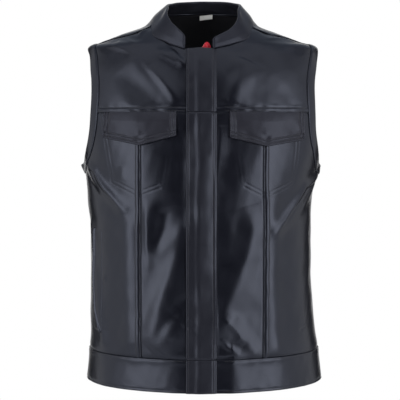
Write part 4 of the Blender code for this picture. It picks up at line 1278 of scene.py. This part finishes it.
def makeLabel():
    spec = labelSpec

    def place(s, t):
        x = spec["place"] + spec["wide"] * (0.5 - s)
        z = spec["low"] + (spec["top"] - spec["low"]) * t + spec["tilt"] * (0.5 - s) * 2
        row = section(z)
        across = (x - row["shift"]) / row["half"]
        behind = (1 - np.abs(across) ** row["backPower"]) ** (1 / row["backPower"])
        return np.stack((np.arctan2(across, -behind) % (2 * math.pi), z), -1)

    def lift(s, t, away):
        bent = spec["wave"] * np.sin(spec["waveTurns"] * s) - spec["curl"] * (1 - t)
        return spec["under"] - bodyShape["wall"] + spec["wall"] + bent
    sewPiece("size_label", place, spec, ["neck_lining"], lift=lift, smooth=True)


for side in sides:
    for make in (makeYoke, makeFront, makeSide, makeBand, makeFlap, makeStrip, makeWelt, sewPockets):
        make(side)
print("vest: fronts made")
for make in (makeBack, makeHem, makePlacket, makeCollar, makeZip, makeSlider, makeLining, makeLabel):
    make()
print("vest: back, hem, collar and closing made")
makeThreads()
print("vest: stitching made,", len(made), "pieces")

# studio: floor below, white surround, soft boxes on both sides and above
studio = {
    "floorAt": (0, -0.2, -1.05), "floorSize": 3.0,
    "boxes": (  # name, place, aim, width, height, watts
        ("leftBox", (-1.25, -1.40, -0.15), (0, 0, -0.30), 0.9, 1.7, 24),
        ("rightBox", (1.25, -1.40, -0.15), (0, 0, -0.30), 0.9, 1.7, 25.5),
        ("leftSheet", (-1.6, -0.2, -0.1), (0, 0, -0.30), 1.8, 2.2, 15.8),
        ("rightSheet", (1.6, -0.2, -0.1), (0, 0, -0.30), 1.8, 2.2, 15.8),
        ("topBox", (0.0, -1.15, 1.60), (0, 0, -0.20), 3.6, 1.4, 22),
        ("roofSheet", (0.0, 0.7, 1.90), (0, 0.2, -0.20), 4.6, 3.0, 28),
        ("backPaper", (0.0, 2.4, -0.1), (0, 0, -0.30), 3.4, 3.0, 34),
    ),
    "tints": {"roofSheet": (0.76, 0.85, 1.0)},
    "surround": 0.035,
}


def aimed(name, data, place, aim):
    holder = bpy.data.objects.new(name, data)
    holder.location = place
    holder.rotation_euler = (Vector(aim) - Vector(place)).to_track_quat("-Z", "Y").to_euler()
    bpy.context.scene.collection.objects.link(holder)
    return holder


def makeStudio():
    bm = bmesh.new()
    bmesh.ops.create_grid(bm, x_segments=1, y_segments=1, size=studio["floorSize"] / 2)
    bmesh.ops.translate(bm, vec=studio["floorAt"], verts=bm.verts)
    finished("floor", bm, "paper")
    for name, place, aim, width, height, watts in studio["boxes"]:
        lamp = bpy.data.lights.new(name, "AREA")
        lamp.shape, lamp.size, lamp.size_y, lamp.energy = "RECTANGLE", width, height, watts
        lamp.color = studio["tints"].get(name, (1, 1, 1))
        aimed(name, lamp, place, aim)
    world = bpy.data.worlds.new("whiteSurround")
    world.use_nodes = True
    bpy.context.scene.world = world
    back = world.node_tree.nodes["Background"]
    back.inputs["Color"].default_value = (1, 1, 1, 1)
    seen = Wire(world.node_tree).add("ShaderNodeLightPath")  # plain white behind, dimmer as light
    link(studio["surround"] + seen * (1.0 - studio["surround"]), back, "Strength")


viewSpec = {"place": (-0.0036, -1.9, -0.193), "aim": (-0.0036, 0.0, -0.3006), "lens": 95.0, "sensor": 36.0}


def makeCamera():
    camera = bpy.data.cameras.new("photoView")
    camera.lens, camera.sensor_width = viewSpec["lens"], viewSpec["sensor"]
    bpy.context.scene.camera = aimed("photoView", camera, viewSpec["place"], viewSpec["aim"])
    bpy.context.scene.view_settings.view_transform = "Standard"


makeStudio()
makeCamera()
print("vest: studio and camera set")
